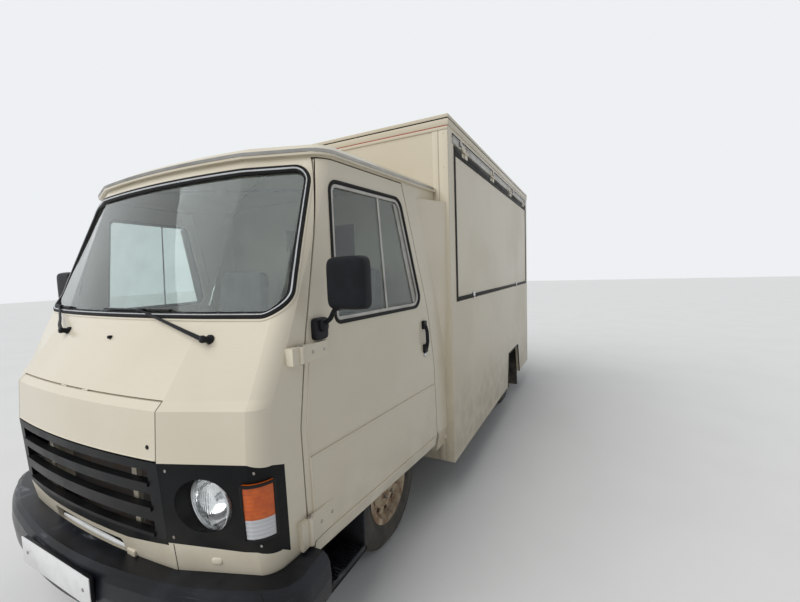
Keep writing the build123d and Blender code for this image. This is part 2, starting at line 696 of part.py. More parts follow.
def on_column(down):
    """Point on the steering column so far below the wheel's centre."""
    x, y, z = WHEEL_CENTRE
    return (x, y - down * cos(COLUMN_LEAN), z - down * sin(COLUMN_LEAN))


with BuildPart() as dashboard:
    add(cab_solid(CAB_WALL + CLOSE) & side_prism(DASH_PROFILE, -CAB_REACH, CAB_REACH))
    add(shaft(COLUMN_RADIUS, on_column(COLUMN_LENGTH), on_column(HUB_LENGTH + CLOSE)))
save(dashboard.part, "dashboard")

# Steering wheel: six-sided rim, hub and three spokes
RIM_CENTRE = 205
RIM_THICKNESS = 13
HUB_RADIUS = 42
SPOKE = (200, 26, 10)
with BuildPart() as steering_wheel:
    hub_at = (WHEEL_CENTRE[0], FRONT_AXLE + WHEEL_CENTRE[1], WHEEL_CENTRE[2])
    column = (0, cos(COLUMN_LEAN), sin(COLUMN_LEAN))
    with BuildSketch(Plane(origin=hub_at, x_dir=(1, 0, 0), z_dir=(0, -sin(COLUMN_LEAN), cos(COLUMN_LEAN)))):
        with Locations((RIM_CENTRE, 0)):
            RegularPolygon(RIM_THICKNESS, 6)
    revolve(axis=Axis(hub_at, column))
    with Locations(Plane(origin=hub_at, z_dir=column)):
        with Locations((0, 0, -HUB_LENGTH / 2)):
            Cylinder(HUB_RADIUS, HUB_LENGTH)
        for angle in (90, 210, 330):
            with Locations(Location((0, 0, -8), (0, 0, angle))):
                Box(*SPOKE, align=(Align.MIN, Align.CENTER, Align.CENTER))
save(steering_wheel.part, "steering_wheel")

# Seats: cushion, leaning back and plinth
SEAT_X = 460
SEAT_HALF = 215
SEAT_Y = (-260, 180)
SEAT_LOW = 912
SEAT_HIGH = 1010
BACK_PROFILE = [(160, SEAT_HIGH), (60, SEAT_HIGH), (150, 1560), (240, 1560)]
PLINTH_EDGE = 30
with BuildPart() as seats:
    cushion = block((SEAT_X - SEAT_HALF, SEAT_X + SEAT_HALF), SEAT_Y, (SEAT_LOW, SEAT_HIGH))
    back = side_prism(BACK_PROFILE, SEAT_X - SEAT_HALF, SEAT_X + SEAT_HALF)
    plinth = block((SEAT_X - SEAT_HALF + PLINTH_EDGE, SEAT_X + SEAT_HALF - PLINTH_EDGE),
                   (SEAT_Y[0] + PLINTH_EDGE, SEAT_Y[1] - PLINTH_EDGE), (PAN_TOP, SEAT_LOW))
    add(both_sides(cushion + back + plinth))
save(seats.part, "seats")

# Engine, one plain block with its mounts out to the rails
ENGINE_HALF = 200
ENGINE_Y = (-860, -260)
ENGINE_Z = (340, 800)
MOUNT_Y = (-610, -560)
MOUNT_Z = (460, 500)
with BuildPart() as engine_block:
    add(block((-ENGINE_HALF, ENGINE_HALF), ENGINE_Y, ENGINE_Z))
    add(block((-RAIL_INNER + CLOSE, RAIL_INNER - CLOSE), MOUNT_Y, MOUNT_Z))
save(engine_block.part, "engine_block")

# Chassis frame with the front suspension arms and the rear bar for the tow ball
TOW_SPACING = 90
TOW_HOLE_RADIUS = 8.5
TOW_HEIGHT = 375
BAR_HALF = 960
BAR_Z = (330, 420)
STAY_LENGTH = 120
EYE_HEIGHTS = (HUB_CENTRE - 90, HUB_CENTRE + 90)
EYE_HALF = 11
EYE_RADIUS = 24
ARM_HALF = 20
DROP_HALF = 60


def suspension_arm(height):
    """Arm from the left rail out to the kingpin, with the eye that the pin turns in."""
    low, high = height - EYE_HALF, height + EYE_HALF
    with BuildPart() as arm:
        add(block((RAIL_X, KINGPIN_X), (-ARM_HALF, ARM_HALF), (low, high)))
        add(shaft(EYE_RADIUS, (KINGPIN_X, 0, low), (KINGPIN_X, 0, high)))
        add(shaft(KINGPIN_RADIUS + RUNNING_FIT, (KINGPIN_X, 0, low - 1), (KINGPIN_X, 0, high + 1)),
            mode=Mode.SUBTRACT)
    return arm.part


with BuildPart() as chassis_frame:
    add(both_sides(block((RAIL_INNER, RAIL_OUTER), (FRONT_MEMBER - 5, BOX_REAR - 60), (RAIL_BOTTOM, RAIL_TOP))))
    for y in CROSS_MEMBERS:
        add(block((-RAIL_X, RAIL_X), (y, y + MEMBER_WIDTH), (MEMBER_BOTTOM, MEMBER_TOP)))
    add(block((-BAR_HALF, BAR_HALF), (BOX_REAR, TAIL), BAR_Z))
    for x in (-TOW_SPACING / 2, TOW_SPACING / 2):
        hole = shaft(TOW_HOLE_RADIUS, (x, BOX_REAR - 1, TOW_HEIGHT), (x, TAIL + 1, TOW_HEIGHT))
        add(hole, mode=Mode.SUBTRACT)
    stay = block((RAIL_INNER, RAIL_OUTER), (BOX_REAR - STAY_LENGTH, BOX_REAR), (BAR_Z[0] + 30, RAIL_BOTTOM))
    drop = block((RAIL_INNER, RAIL_OUTER), (-DROP_HALF, DROP_HALF), (EYE_HEIGHTS[0] - EYE_HALF, RAIL_BOTTOM))
    add(both_sides(stay + drop))
    for height in EYE_HEIGHTS:
        add(both_sides(suspension_arm(height)))
save(chassis_frame.part, "chassis_frame")

# Steering knuckles
KNUCKLE_HALF = 14
KNUCKLE_DEPTH = 34
PIN_END = 6
with BuildPart() as knuckle_left:
    low, high = EYE_HEIGHTS[0] + EYE_HALF, EYE_HEIGHTS[1] - EYE_HALF
    add(block((KINGPIN_X - KNUCKLE_HALF, KINGPIN_X + KNUCKLE_HALF), (-KNUCKLE_DEPTH, KNUCKLE_DEPTH),
              (low + HINGE_PLAY, high - HINGE_PLAY)))
    add(shaft(KINGPIN_RADIUS, (KINGPIN_X, 0, EYE_HEIGHTS[0] - EYE_HALF - PIN_END),
              (KINGPIN_X, 0, EYE_HEIGHTS[1] + EYE_HALF + PIN_END)))
    add(shaft(SPINDLE_RADIUS, (KINGPIN_X, 0, HUB_CENTRE), (FRONT_WHEEL_X + SPINDLE_REACH, 0, HUB_CENTRE)))
save(knuckle_left.part, "knuckle_left")
save(mirrored(knuckle_left.part), "knuckle_right")

# Rear axle: beam, spindles and leaf springs with their hangers
BEAM_RADIUS = 38
BEAM_END = 90
SPRING_REACH = 520
SPRING_Z = (362, 386)
HANGER_LENGTH = 50
with BuildPart() as rear_axle:
    beam_end = REAR_WHEEL_X - BEAM_END
    spindle_end = REAR_WHEEL_X + SPINDLE_REACH
    add(shaft(BEAM_RADIUS, (-beam_end, WHEELBASE, HUB_CENTRE), (beam_end, WHEELBASE, HUB_CENTRE)))
    add(shaft(SPINDLE_RADIUS, (-spindle_end, WHEELBASE, HUB_CENTRE), (spindle_end, WHEELBASE, HUB_CENTRE)))
    ends = (WHEELBASE - SPRING_REACH, WHEELBASE + SPRING_REACH)
    add(both_sides(block((RAIL_INNER, RAIL_OUTER), ends, SPRING_Z)))
    for start in (ends[0], ends[1] - HANGER_LENGTH):
        along = (start, start + HANGER_LENGTH)
        add(both_sides(block((RAIL_INNER, RAIL_OUTER), along, (SPRING_Z[0], RAIL_BOTTOM))))
save(rear_axle.part, "rear_axle")

# Steel wheel, from its middle plane out. The disc has a flat ring with slots, and rises to the bolt face
BARREL_INNER = BEAD_RADIUS - 8
FLANGE = 8
DISC_X = (32, 40)
DISC_RING = (112, 150)
BOLT_FACE = 56
BOLT_FACE_RADIUS = 80
HUB_OUTER = 60
WHEEL_SLOTS = 10
SLOT_SIZE = (22, 34)


def wheel_form(centre_x, y):
    """Steel wheel turned about its axle: barrel, flanges, dished disc and hub with its bore."""
    half = RIM_WIDTH / 2
    bore = SPINDLE_RADIUS + RUNNING_FIT
    centre = (centre_x, FRONT_AXLE + y, HUB_CENTRE)
    with BuildPart() as rim:
        with BuildSketch(Plane(origin=centre, x_dir=(1, 0, 0), z_dir=(0, -1, 0))):
            with BuildLine():
                Polyline(
                    (-half, BARREL_INNER), (-half, RIM_RADIUS), (FLANGE - half, BEAD_RADIUS),
                    (half - FLANGE, BEAD_RADIUS), (half, RIM_RADIUS), (half, BARREL_INNER),
                    (DISC_X[1], DISC_RING[1]), (DISC_X[1], DISC_RING[0]), (BOLT_FACE, BOLT_FACE_RADIUS),
                    (BOLT_FACE, bore), (0, bore), (0, HUB_OUTER), (DISC_X[0], DISC_RING[0] - FLANGE),
                    (DISC_X[0], DISC_RING[1] + FLANGE), close=True)
            make_face()
        revolve(axis=Axis(centre, (1, 0, 0)))
        with BuildSketch(Plane(origin=centre, z_dir=(1, 0, 0))):
            with PolarLocations(sum(DISC_RING) / 2, WHEEL_SLOTS):
                Rectangle(*SLOT_SIZE)
        extrude(amount=RIM_WIDTH / 2, mode=Mode.SUBTRACT)
    return rim.part


def tyre_form(centre_x, y):
    """Tyre turned about its axle: sidewalls bulge from the beads up to the tread."""
    bead = RIM_WIDTH / 2 - FLANGE - 1
    half = TYRE_WIDTH / 2
    tread = TREAD_WIDTH / 2
    side = [(bead, BEAD_RADIUS + CLOSE), (bead + 2, RIM_RADIUS + 1), (half, 250), (half - 15, 300),
            (tread, TYRE_RADIUS)]
    centre = (centre_x, FRONT_AXLE + y, HUB_CENTRE)
    with BuildPart() as tyre:
        with BuildSketch(Plane(origin=centre, x_dir=(1, 0, 0), z_dir=(0, -1, 0))):
            with BuildLine():
                Polyline(*side, *[(-x, radius) for x, radius in reversed(side)], close=True)
            make_face()
        revolve(axis=Axis(centre, (1, 0, 0)))
    return tyre.part


for place, centre_x, y in (("front", FRONT_WHEEL_X, 0), ("rear", REAR_WHEEL_X, WHEELBASE)):
    for kind, form in (("wheel", wheel_form(centre_x, y)), ("tyre", tyre_form(centre_x, y))):
        save(form, f"{kind}_{place}_left")
        save(mirrored(form), f"{kind}_{place}_right")


def barrel_ends(middle, body_side):
    """Where one half of a hinge barrel begins and ends along its pin."""
    if body_side:
        return middle - HINGE_HALF, middle - HINGE_PLAY
    return middle + HINGE_PLAY, middle + HINGE_HALF


def hatch_hinge_half(middle, body_side):
    """Half of one hatch hinge: front barrel and upper leaf are the wall's, the others the flap's."""
    low, high = barrel_ends(middle, body_side)
    pin_x = BOX_SIDE + HINGE_STAND
    leaf = (HATCH_TOP, HATCH_TOP + HINGE_WIDTH) if body_side else (HATCH_TOP - HINGE_WIDTH, HATCH_TOP)
    with BuildPart() as half_hinge:
        add(block((BOX_SIDE, BOX_SIDE + HINGE_LEAF), (low, high), leaf))
        add(shaft(HINGE_BARREL, (pin_x, low, HATCH_TOP), (pin_x, high, HATCH_TOP)))
    return half_hinge.part


def rear_hinge_half(middle, body_side):
    """Half of one rear door hinge: the lower barrel is the wall's, the upper one the door's."""
    low, high = barrel_ends(middle, body_side)
    pin = (-REAR_DOOR_WIDTH / 2, BOX_REAR + HINGE_STAND)
    leaf = (pin[0] - HINGE_WIDTH, pin[0]) if body_side else (pin[0], pin[0] + HINGE_WIDTH)
    with BuildPart() as half_hinge:
        add(block(leaf, (BOX_REAR, BOX_REAR + HINGE_LEAF), (low, high)))
        add(shaft(HINGE_BARREL, (*pin, low), (*pin, high)))
    return half_hinge.part


# Serving body: front wall with the way through from the cab
PASSAGE = 620
PASSAGE_TOP = 1860
SKIRT_INSIDE = 760
inner_side = BOX_SIDE - BOX_WALL
with BuildPart() as box_front_wall:
    through = (BOX_FRONT - 1, BOX_FRONT + BOX_WALL + 1)
    add(block((-BOX_SIDE, BOX_SIDE), (BOX_FRONT, BOX_FRONT + BOX_WALL), (BOX_BOTTOM, WALL_TOP)))
    add(block((-PASSAGE / 2, PASSAGE / 2), through, (PAN_TOP, PASSAGE_TOP)), mode=Mode.SUBTRACT)
    add(block((-SKIRT_INSIDE, SKIRT_INSIDE), through, (BOX_BOTTOM - 1, RAIL_TOP)), mode=Mode.SUBTRACT)
save(box_front_wall.part, "box_front_wall")

# Side walls with the rear wheel arches, the left one with the hatch opening
ARCH_TOP = 620
ARCH_EDGE = [(WHEELBASE - 332, BOX_BOTTOM - 1), (WHEELBASE - 268, ARCH_TOP), (WHEELBASE + 250, ARCH_TOP),
             (WHEELBASE + 345, BOX_BOTTOM - 1)]
plain_wall = block((inner_side, BOX_SIDE), (BOX_FRONT + BOX_WALL, BOX_REAR), (BOX_BOTTOM, WALL_TOP))
plain_wall = plain_wall - side_prism(ARCH_EDGE, inner_side - 1, BOX_SIDE + 1)
with BuildPart() as box_left_wall:
    add(plain_wall)
    add(block((inner_side - 1, BOX_SIDE + 1), (HATCH_START, HATCH_END), (HATCH_BOTTOM, HATCH_TOP)),
        mode=Mode.SUBTRACT)
    for middle in HATCH_HINGES:
        add(hatch_hinge_half(middle, True))
save(box_left_wall.part, "box_left_wall")
save(mirrored(plain_wall), "box_right_wall")

# Rear wall with the door opening
REAR_WALL_BOTTOM = BOX_BOTTOM + 160
with BuildPart() as box_rear_wall:
    add(block((-inner_side, inner_side), (BOX_REAR - BOX_WALL, BOX_REAR), (REAR_WALL_BOTTOM, WALL_TOP)))
    add(block((-REAR_DOOR_WIDTH / 2, REAR_DOOR_WIDTH / 2), (BOX_REAR - BOX_WALL - 1, BOX_REAR + 1),
              (REAR_DOOR_BOTTOM, REAR_DOOR_TOP)), mode=Mode.SUBTRACT)
    for middle in REAR_DOOR_HINGES:
        add(rear_hinge_half(middle, True))
save(box_rear_wall.part, "box_rear_wall")

with BuildPart() as box_roof:
    add(block((-BOX_SIDE, BOX_SIDE), (BOX_FRONT, BOX_REAR), (WALL_TOP, BOX_TOP)))
save(box_roof.part, "box_roof")

# Floor with the rear wheel housings
HOUSING_HALF = 380
HOUSING_WALL = 20
HOUSING_INNER = REAR_WHEEL_X - 162
REAR_HOUSING_TOP = 740
with BuildPart() as box_floor:
    add(block((-inner_side, inner_side), (BOX_FRONT + BOX_WALL, BOX_REAR - BOX_WALL), (RAIL_TOP, FLOOR_TOP)))
    add(both_sides(block((HOUSING_INNER, inner_side), (WHEELBASE - HOUSING_HALF, WHEELBASE + HOUSING_HALF),
                         (RAIL_TOP, REAR_HOUSING_TOP))))
    hollow = HOUSING_HALF - HOUSING_WALL
    well = block((HOUSING_INNER + HOUSING_WALL, inner_side + 1), (WHEELBASE - hollow, WHEELBASE + hollow),
                 (RAIL_TOP - 1, REAR_HOUSING_TOP - HOUSING_WALL))
    add(both_sides(well), mode=Mode.SUBTRACT)
save(box_floor.part, "box_floor")

# Hatch flap, hinged along its top edge
with BuildPart() as hatch_flap:
    add(block((BOX_SIDE - FLAP_THICKNESS, BOX_SIDE), (HATCH_START + GAP, HATCH_END - GAP),
              (HATCH_BOTTOM + GAP, HATCH_TOP - GAP)))
    for middle in HATCH_HINGES:
        add(hatch_hinge_half(middle, False))
save(hatch_flap.part, "hatch_flap")

# Rear door, hinged on its right edge
with BuildPart() as rear_door:
    add(block((-REAR_DOOR_WIDTH / 2 + GAP, REAR_DOOR_WIDTH / 2 - GAP), (BOX_REAR - FLAP_THICKNESS, BOX_REAR),
              (REAR_DOOR_BOTTOM + GAP, REAR_DOOR_TOP - GAP)))
    for middle in REAR_DOOR_HINGES:
        add(rear_hinge_half(middle, False))
save(rear_door.part, "rear_door")

# Serving counter under the hatch, on its front panel
COUNTER_Z = (HATCH_BOTTOM - 60, HATCH_BOTTOM - 20)
COUNTER_INNER = 520
COUNTER_START = HATCH_START + 60
COUNTER_LENGTH = 1374
COUNTER_PANEL = 20
with BuildPart() as serving_counter:
    along = (COUNTER_START, COUNTER_START + COUNTER_LENGTH)
    add(block((COUNTER_INNER, inner_side), along, COUNTER_Z))
    add(block((COUNTER_INNER + COUNTER_PANEL, COUNTER_INNER + 2 * COUNTER_PANEL), along,
              (FLOOR_TOP, COUNTER_Z[0])))
save(serving_counter.part, "serving_counter")

# Fuel tank behind the right wall, on two straps from the rail
TANK_X = (inner_side - 123, 480)
TANK_Y = (MIDDLE_MEMBER - 60, MIDDLE_MEMBER + 640)
TANK_Z = (320, 540)
TANK_ROUND = 40
STRAP_WIDTH = 40
with BuildPart() as fuel_tank:
    add(block((-TANK_X[0], -TANK_X[1]), TANK_Y, TANK_Z))
    fillet(fuel_tank.edges().filter_by(Axis.Y), radius=TANK_ROUND)
    for y in (TANK_Y[0] + 120, TANK_Y[1] - 160):
        add(block((-TANK_X[1] - 120, -RAIL_OUTER - CLOSE), (y, y + STRAP_WIDTH),
                  (TANK_Z[1] - STRAP_WIDTH, RAIL_TOP - CLOSE)))
save(fuel_tank.part, "fuel_tank")

# Exhaust: flange on the engine, downpipe, silencer and tail pipe, hung from two cross members
PIPE = 24
PIPE_X = 300
PIPE_Z = 300
SILENCER = 80
SILENCER_Y = (MIDDLE_MEMBER - 260, MIDDLE_MEMBER + 240)
FLANGE_Y = (-440, -360)
FLANGE_Z = (350, 410)
STRAP_HALF = 6
bend = (PIPE_X, ENGINE_Y[1] + 10, PIPE_Z)
with BuildPart() as exhaust:
    add(block((ENGINE_HALF + CLOSE, ENGINE_HALF + 40), FLANGE_Y, FLANGE_Z))
    add(shaft(PIPE, (ENGINE_HALF + 30, sum(FLANGE_Y) / 2, sum(FLANGE_Z) / 2), bend))
    with Locations((bend[0], FRONT_AXLE + bend[1], bend[2])):
        Sphere(PIPE)
    add(shaft(PIPE, bend, (PIPE_X, WHEELBASE - 300, PIPE_Z)))
    add(shaft(SILENCER, (PIPE_X, SILENCER_Y[0], PIPE_Z), (PIPE_X, SILENCER_Y[1], PIPE_Z)))
    for y in (CAB_MEMBER + 20, SPRING_MEMBER + 20):
        add(block((PIPE_X - STRAP_HALF, PIPE_X + STRAP_HALF), (y, y + 20),
                  (PIPE_Z + 10, MEMBER_BOTTOM - CLOSE)))
save(exhaust.part, "exhaust")

# Mudflaps behind the rear wheels
FLAP_BOTTOM = 115
FLAP_SHEET = 8
with BuildPart() as mudflaps:
    flap_y = ARCH_EDGE[-1][0] + 5
    along = (flap_y, flap_y + FLAP_SHEET)
    add(both_sides(block((REAR_WHEEL_X - 40, inner_side), along, (FLAP_BOTTOM, RAIL_TOP))))
save(mudflaps.part, "mudflaps")

# Tail lamps on the rear wall
TAIL_LAMP_X = (BOX_SIDE - 153, BOX_SIDE - 53)
TAIL_LAMP_Z = (520, 760)
TAIL_LAMP_STAND = 24
with BuildPart() as tail_lamps:
    add(both_sides(block(TAIL_LAMP_X, (BOX_REAR, BOX_REAR + TAIL_LAMP_STAND), TAIL_LAMP_Z)))
save(tail_lamps.part, "tail_lamps")
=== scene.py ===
# %% [markdown]
# An ice cream truck in cream paint: a forward-control van cab with a square serving body behind it.
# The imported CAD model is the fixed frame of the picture. The whole truck could be modelled again
# here, but then the two would drift apart. So this script only gives the model its finishes, adds the
# small pieces that the solids leave out, and replaces a few that the solids draw too plainly. It works
# in metres, in the same frame: +Z up, the nose towards -Y and +X the truck's left side.

import math

import bmesh
import bpy
from mathutils import Matrix, Vector
from mathutils.bvhtree import BVHTree


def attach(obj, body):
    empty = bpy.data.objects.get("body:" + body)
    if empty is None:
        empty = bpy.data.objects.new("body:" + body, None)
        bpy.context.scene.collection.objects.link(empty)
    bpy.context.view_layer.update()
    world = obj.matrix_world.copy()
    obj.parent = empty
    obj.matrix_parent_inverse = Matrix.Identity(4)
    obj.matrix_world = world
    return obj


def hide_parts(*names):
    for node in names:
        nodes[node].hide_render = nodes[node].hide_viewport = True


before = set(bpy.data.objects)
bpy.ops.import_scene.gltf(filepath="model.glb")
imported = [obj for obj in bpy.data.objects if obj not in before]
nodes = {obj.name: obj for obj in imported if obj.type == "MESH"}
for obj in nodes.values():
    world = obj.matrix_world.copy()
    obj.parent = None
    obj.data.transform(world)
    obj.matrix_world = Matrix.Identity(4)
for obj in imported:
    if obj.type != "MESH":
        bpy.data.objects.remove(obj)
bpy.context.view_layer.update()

# %% [markdown]
# A workshop drawing gives lengths along a van from its front axle, and so does this script. The axles
# and the faces of the serving body could be typed in as numbers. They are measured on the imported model
# instead, to a tenth of a millimetre, so that what is added here fits what is there.

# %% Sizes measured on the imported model
SIDES = (("left", 1), ("right", -1))
GLASS_SET = 0.0095  # how far the glass lies behind the panels' skin


def box_of(name, side=1):
    """Low and high corner of what a CAD piece has on one side of the truck."""
    points = [vert.co for vert in nodes[name].data.vertices if vert.co.x * side > 0]
    return [[round(pick(point[k] for point in points), 4) for k in range(3)] for pick in (min, max)]


def centre_of(name, side=1):
    """The middle of that box."""
    return [round((low + high) / 2, 4) for low, high in zip(*box_of(name, side))]


FRONT_WHEEL_X, FRONT_AXLE, AXLE_HEIGHT = centre_of("tyre_front_left")
REAR_WHEEL_X, REAR_AXLE = centre_of("tyre_rear_left")[:2]
wall_low, wall_high = box_of("box_front_wall")
BODY_FRONT, BODY_FOOT, BODY_SIDE = wall_low[1], wall_low[2], wall_high[0]
BODY_REAR = box_of("box_roof")[1][1]
print("axles", FRONT_AXLE, REAR_AXLE, "serving body", BODY_FRONT, BODY_REAR, "half width", BODY_SIDE)

# %% [markdown]
# The camera stands in front of the left corner of the nose, at a grown person's eye height.
# It is a very wide lens, so the near corner looks large and the serving body shrinks away.
# It could be moved by eye until the picture fits, but a lens this wide shows every error. Its place
# and turn were worked out from the truck's straight lines instead, for a picture of 800 by 602.

# %% Camera
CAMERA_AT = Vector((1.798, FRONT_AXLE - 1.774, 1.52))
CAMERA_YAW = math.radians(27.04)
CAMERA_PITCH = math.radians(4.48)
CAMERA_ROLL = math.radians(-1.93)
PICTURE_WIDTH = 800
FOCAL_PIXELS = 380
SENSOR_WIDTH = 36.0


def make_camera():
    """The photograph's camera: looks along yaw and pitch, then rolls about its own line of sight."""
    level = math.cos(CAMERA_PITCH)
    forward = Vector((-math.sin(CAMERA_YAW) * level, math.cos(CAMERA_YAW) * level, -math.sin(CAMERA_PITCH)))
    right = forward.cross(Vector((0, 0, 1))).normalized()
    up = right.cross(forward)
    rolled_right = math.cos(CAMERA_ROLL) * right + math.sin(CAMERA_ROLL) * up
    rolled_up = math.cos(CAMERA_ROLL) * up - math.sin(CAMERA_ROLL) * right
    data = bpy.data.cameras.new("camera")
    data.sensor_width = SENSOR_WIDTH
    data.lens = SENSOR_WIDTH * FOCAL_PIXELS / PICTURE_WIDTH
    data.clip_start = 0.05
    camera = bpy.data.objects.new("camera", data)
    turn = Matrix((rolled_right, rolled_up, -forward)).transposed()
    camera.matrix_world = Matrix.Translation(CAMERA_AT) @ turn.to_4x4()
    bpy.context.scene.collection.objects.link(camera)
    bpy.context.scene.camera = camera
    return data


print("lens", round(make_camera().lens, 1), "mm")

# %% [markdown]
# Every paint, plastic and rubber here needs the same few effects: uneven colour, road dirt that
# thickens towards the ground, fine surface grain, and thin scuffs. They could be painted by hand on
# pictures, but those would have to be wrapped round every piece. So each effect is built out of noise,
# once, as a shader node group with named sockets, and every material sets its own strength on it.
# The pieces all sit at the origin, so object coordinates are the truck's own metres, and a door
# carries its dirt along when it opens. These are the helpers that all the groups need.

# %% Helpers for shader nodes
def new_group(name, inputs, outputs):
    """An empty shader group with its sockets; inputs are (name, kind, value) and outputs (name, kind)."""
    tree = bpy.data.node_groups.new(name, "ShaderNodeTree")
    for label, kind, value in inputs:
        socket = tree.interface.new_socket(label, in_out="INPUT", socket_type="NodeSocket" + kind)
        socket.default_value = value
    for label, kind in outputs:
        tree.interface.new_socket(label, in_out="OUTPUT", socket_type="NodeSocket" + kind)
    print("node group", name, [item.name for item in tree.interface.items_tree])
    return tree, tree.nodes.new("NodeGroupInput"), tree.nodes.new("NodeGroupOutput")


def add_node(tree, kind, links=None, **settings):
    """A node with its settings; links give each input a value or another node's output."""
    made = tree.nodes.new("ShaderNode" + kind)
    for name, value in settings.items():
        setattr(made, name, value)
    for name, value in (links or {}).items():
        if isinstance(value, bpy.types.NodeSocket):
            tree.links.new(value, made.inputs[name])
        else:
            made.inputs[name].default_value = value
    return made


def place(tree):
    """The truck's own metres at each point of a piece."""
    return add_node(tree, "TexCoord").outputs["Object"]


def noise(tree, scale, detail, stretch=None):
    """Soft noise in the truck's metres; stretch squeezes it along some axes."""
    where = place(tree)
    if stretch:
        where = add_node(tree, "Mapping", {"Vector": where, "Scale": stretch}).outputs["Vector"]
    return add_node(tree, "TexNoise", {"Vector": where, "Scale": scale, "Detail": detail}).outputs["Fac"]


def between(tree, value, low, high):
    """0 at low, 1 at high, smooth between."""
    links = {"Value": value, "From Min": low, "From Max": high}
    return add_node(tree, "MapRange", links, interpolation_type="SMOOTHSTEP").outputs["Result"]


def times(tree, a, b):
    """Product of two values."""
    return add_node(tree, "Math", {0: a, 1: b}, operation="MULTIPLY", use_clamp=True).outputs[0]


def blend(tree, mask, under, over):
    """One colour laid over another as strongly as the mask says."""
    return add_node(tree, "Mix", {"Factor": mask, 6: under, 7: over}, data_type="RGBA").outputs[2]


# %% [markdown]
# Old paint is never one colour: it fades and yellows in patches. A second noise-driven colour gives
# that. Its mask comes out of the group too, because a faded patch is also duller, so a material can
# drive its roughness with the very same patches.

# %% Mottle group
PATCH_EDGE = (0.38, 0.68)  # noise where a patch starts and where it is full


def mottle_group():
    """Two colours that run into each other in soft patches."""
    tree, given, result = new_group(
        "mottle",
        [("Main", "Color", (1, 1, 1, 1)), ("Patch", "Color", (0, 0, 0, 1)), ("Scale", "Float", 5.0),
         ("Cover", "Float", 0.5)],
        [("Color", "Color"), ("Mask", "Float")])
    soft = noise(tree, given.outputs["Scale"], 5.0)
    mask = times(tree, between(tree, soft, *PATCH_EDGE), given.outputs["Cover"])
    mixed = blend(tree, mask, given.outputs["Main"], given.outputs["Patch"])
    tree.links.new(mixed, result.inputs["Color"])
    tree.links.new(mask, result.inputs["Mask"])
    return tree


MOTTLE = mottle_group()

# %% [markdown]
# A truck's lower third is dirtier than its roof, because the wheels throw the road at it. The height
# above the ground fades the dirt in, and noise breaks its edge up, so that it never shows as a line.

# %% Road dirt group
DIRT_EDGE = (0.30, 0.72)


def road_dirt_group():
    """Dirt that thickens downwards from Top to Foot, broken up by noise."""
    tree, given, result = new_group(
        "road_dirt",
        [("Top", "Float", 0.9), ("Foot", "Float", 0.3), ("Amount", "Float", 0.5), ("Scale", "Float", 9.0)],
        [("Mask", "Float")])
    height = add_node(tree, "SeparateXYZ", {"Vector": place(tree)}).outputs["Z"]
    low_down = between(tree, height, given.outputs["Top"], given.outputs["Foot"])
    broken = between(tree, noise(tree, given.outputs["Scale"], 8.0), *DIRT_EDGE)
    mask = times(tree, times(tree, low_down, broken), given.outputs["Amount"])
    tree.links.new(mask, result.inputs["Mask"])
    return tree


ROAD_DIRT = road_dirt_group()

# %% [markdown]
# Moulded plastic, cast iron and rolled paint all have a fine skin of their own, far too fine to
# model. A bump from small noise bends the light as such a skin does, and costs no geometry.

# %% Grain group
def grain_group():
    """Fine bumps of a moulded, cast or painted surface."""
    tree, given, result = new_group(
        "grain", [("Scale", "Float", 300.0), ("Depth", "Float", 0.0003)], [("Normal", "Vector")])
    fine = noise(tree, given.outputs["Scale"], 3.0)
    bump = add_node(tree, "Bump", {"Height": fine, "Distance": given.outputs["Depth"], "Strength": 1.0})
    tree.links.new(bump.outputs["Normal"], result.inputs["Normal"])
    return tree


GRAIN = grain_group()

# %% [markdown]
# Scuffs are long and thin, and they run level, because the truck rubs past things as it drives. Noise
# that is squeezed in height and stretched in length gives such streaks. One set runs along the truck
# and one across it, so that the sides and the nose both have theirs.

# %% Scuff group
# Columns: stretch of the noise, and the noise where a scuff starts and is full.
ALONG, ACROSS = ((1.0, 0.25, 9.0), (0.60, 0.66)), ((0.3, 1.0, 11.0), (0.62, 0.67))
SCUFFED_EDGE = (0.42, 0.62)


def scuff_group():
    """Thin marks that run along the truck and across it."""
    tree, given, result = new_group(
        "scuffs", [("Scale", "Float", 20.0), ("Amount", "Float", 0.5)], [("Mask", "Float")])
    along, across = (between(tree, noise(tree, given.outputs["Scale"], 6.0, stretch), *edge)
                     for stretch, edge in (ALONG, ACROSS))
    either = add_node(tree, "Math", {0: along, 1: across}, operation="MAXIMUM").outputs[0]
    patches = between(tree, noise(tree, 3.0, 2.0), *SCUFFED_EDGE)
    mask = times(tree, times(tree, either, patches), given.outputs["Amount"])
    tree.links.new(mask, result.inputs["Mask"])
    return tree


SCUFFS = scuff_group()

# %% [markdown]
# One recipe builds most finishes: a main colour with patches, dirt over it, scuffs over that, and
# grain in the normal. Each finish could be wired by hand, but then a change would have to be made
# twenty times. The numbers tell a satin bumper from a glossy door. Plain numbers stay on the
# shader's own sockets, so that they survive the export.

# %% The recipe for an opaque finish
COAT_ROUGHNESS = 0.08
looks = {}


def new_material(name, slot):
    """A material's node tree and shader. The finish is kept by name with the record's material slot."""
    material = bpy.data.materials.new(name)
    material.use_nodes = True
    looks[name] = (material, slot)
    print("finish", name, "in slot", slot)
    return material.node_tree, material.node_tree.nodes["Principled BSDF"]


def group_node(tree, group, **values):
    """A group placed in a material with its own values."""
    made = tree.nodes.new("ShaderNodeGroup")
    made.node_tree = group
    set_sockets(made, values)
    return made


def set_sockets(node, values):
    """Plain numbers and colours on a node's own sockets."""
    for name, value in values.items():
        node.inputs[name].default_value = value


def wire_roughness(tree, shader, mask, rough):
    """Roughness from rough[0] on the main colour to rough[1] in the patches."""
    spread = add_node(tree, "MapRange", {"Value": mask, "To Min": rough[0], "To Max": rough[1]})
    tree.links.new(spread.outputs["Result"], shader.inputs["Roughness"])


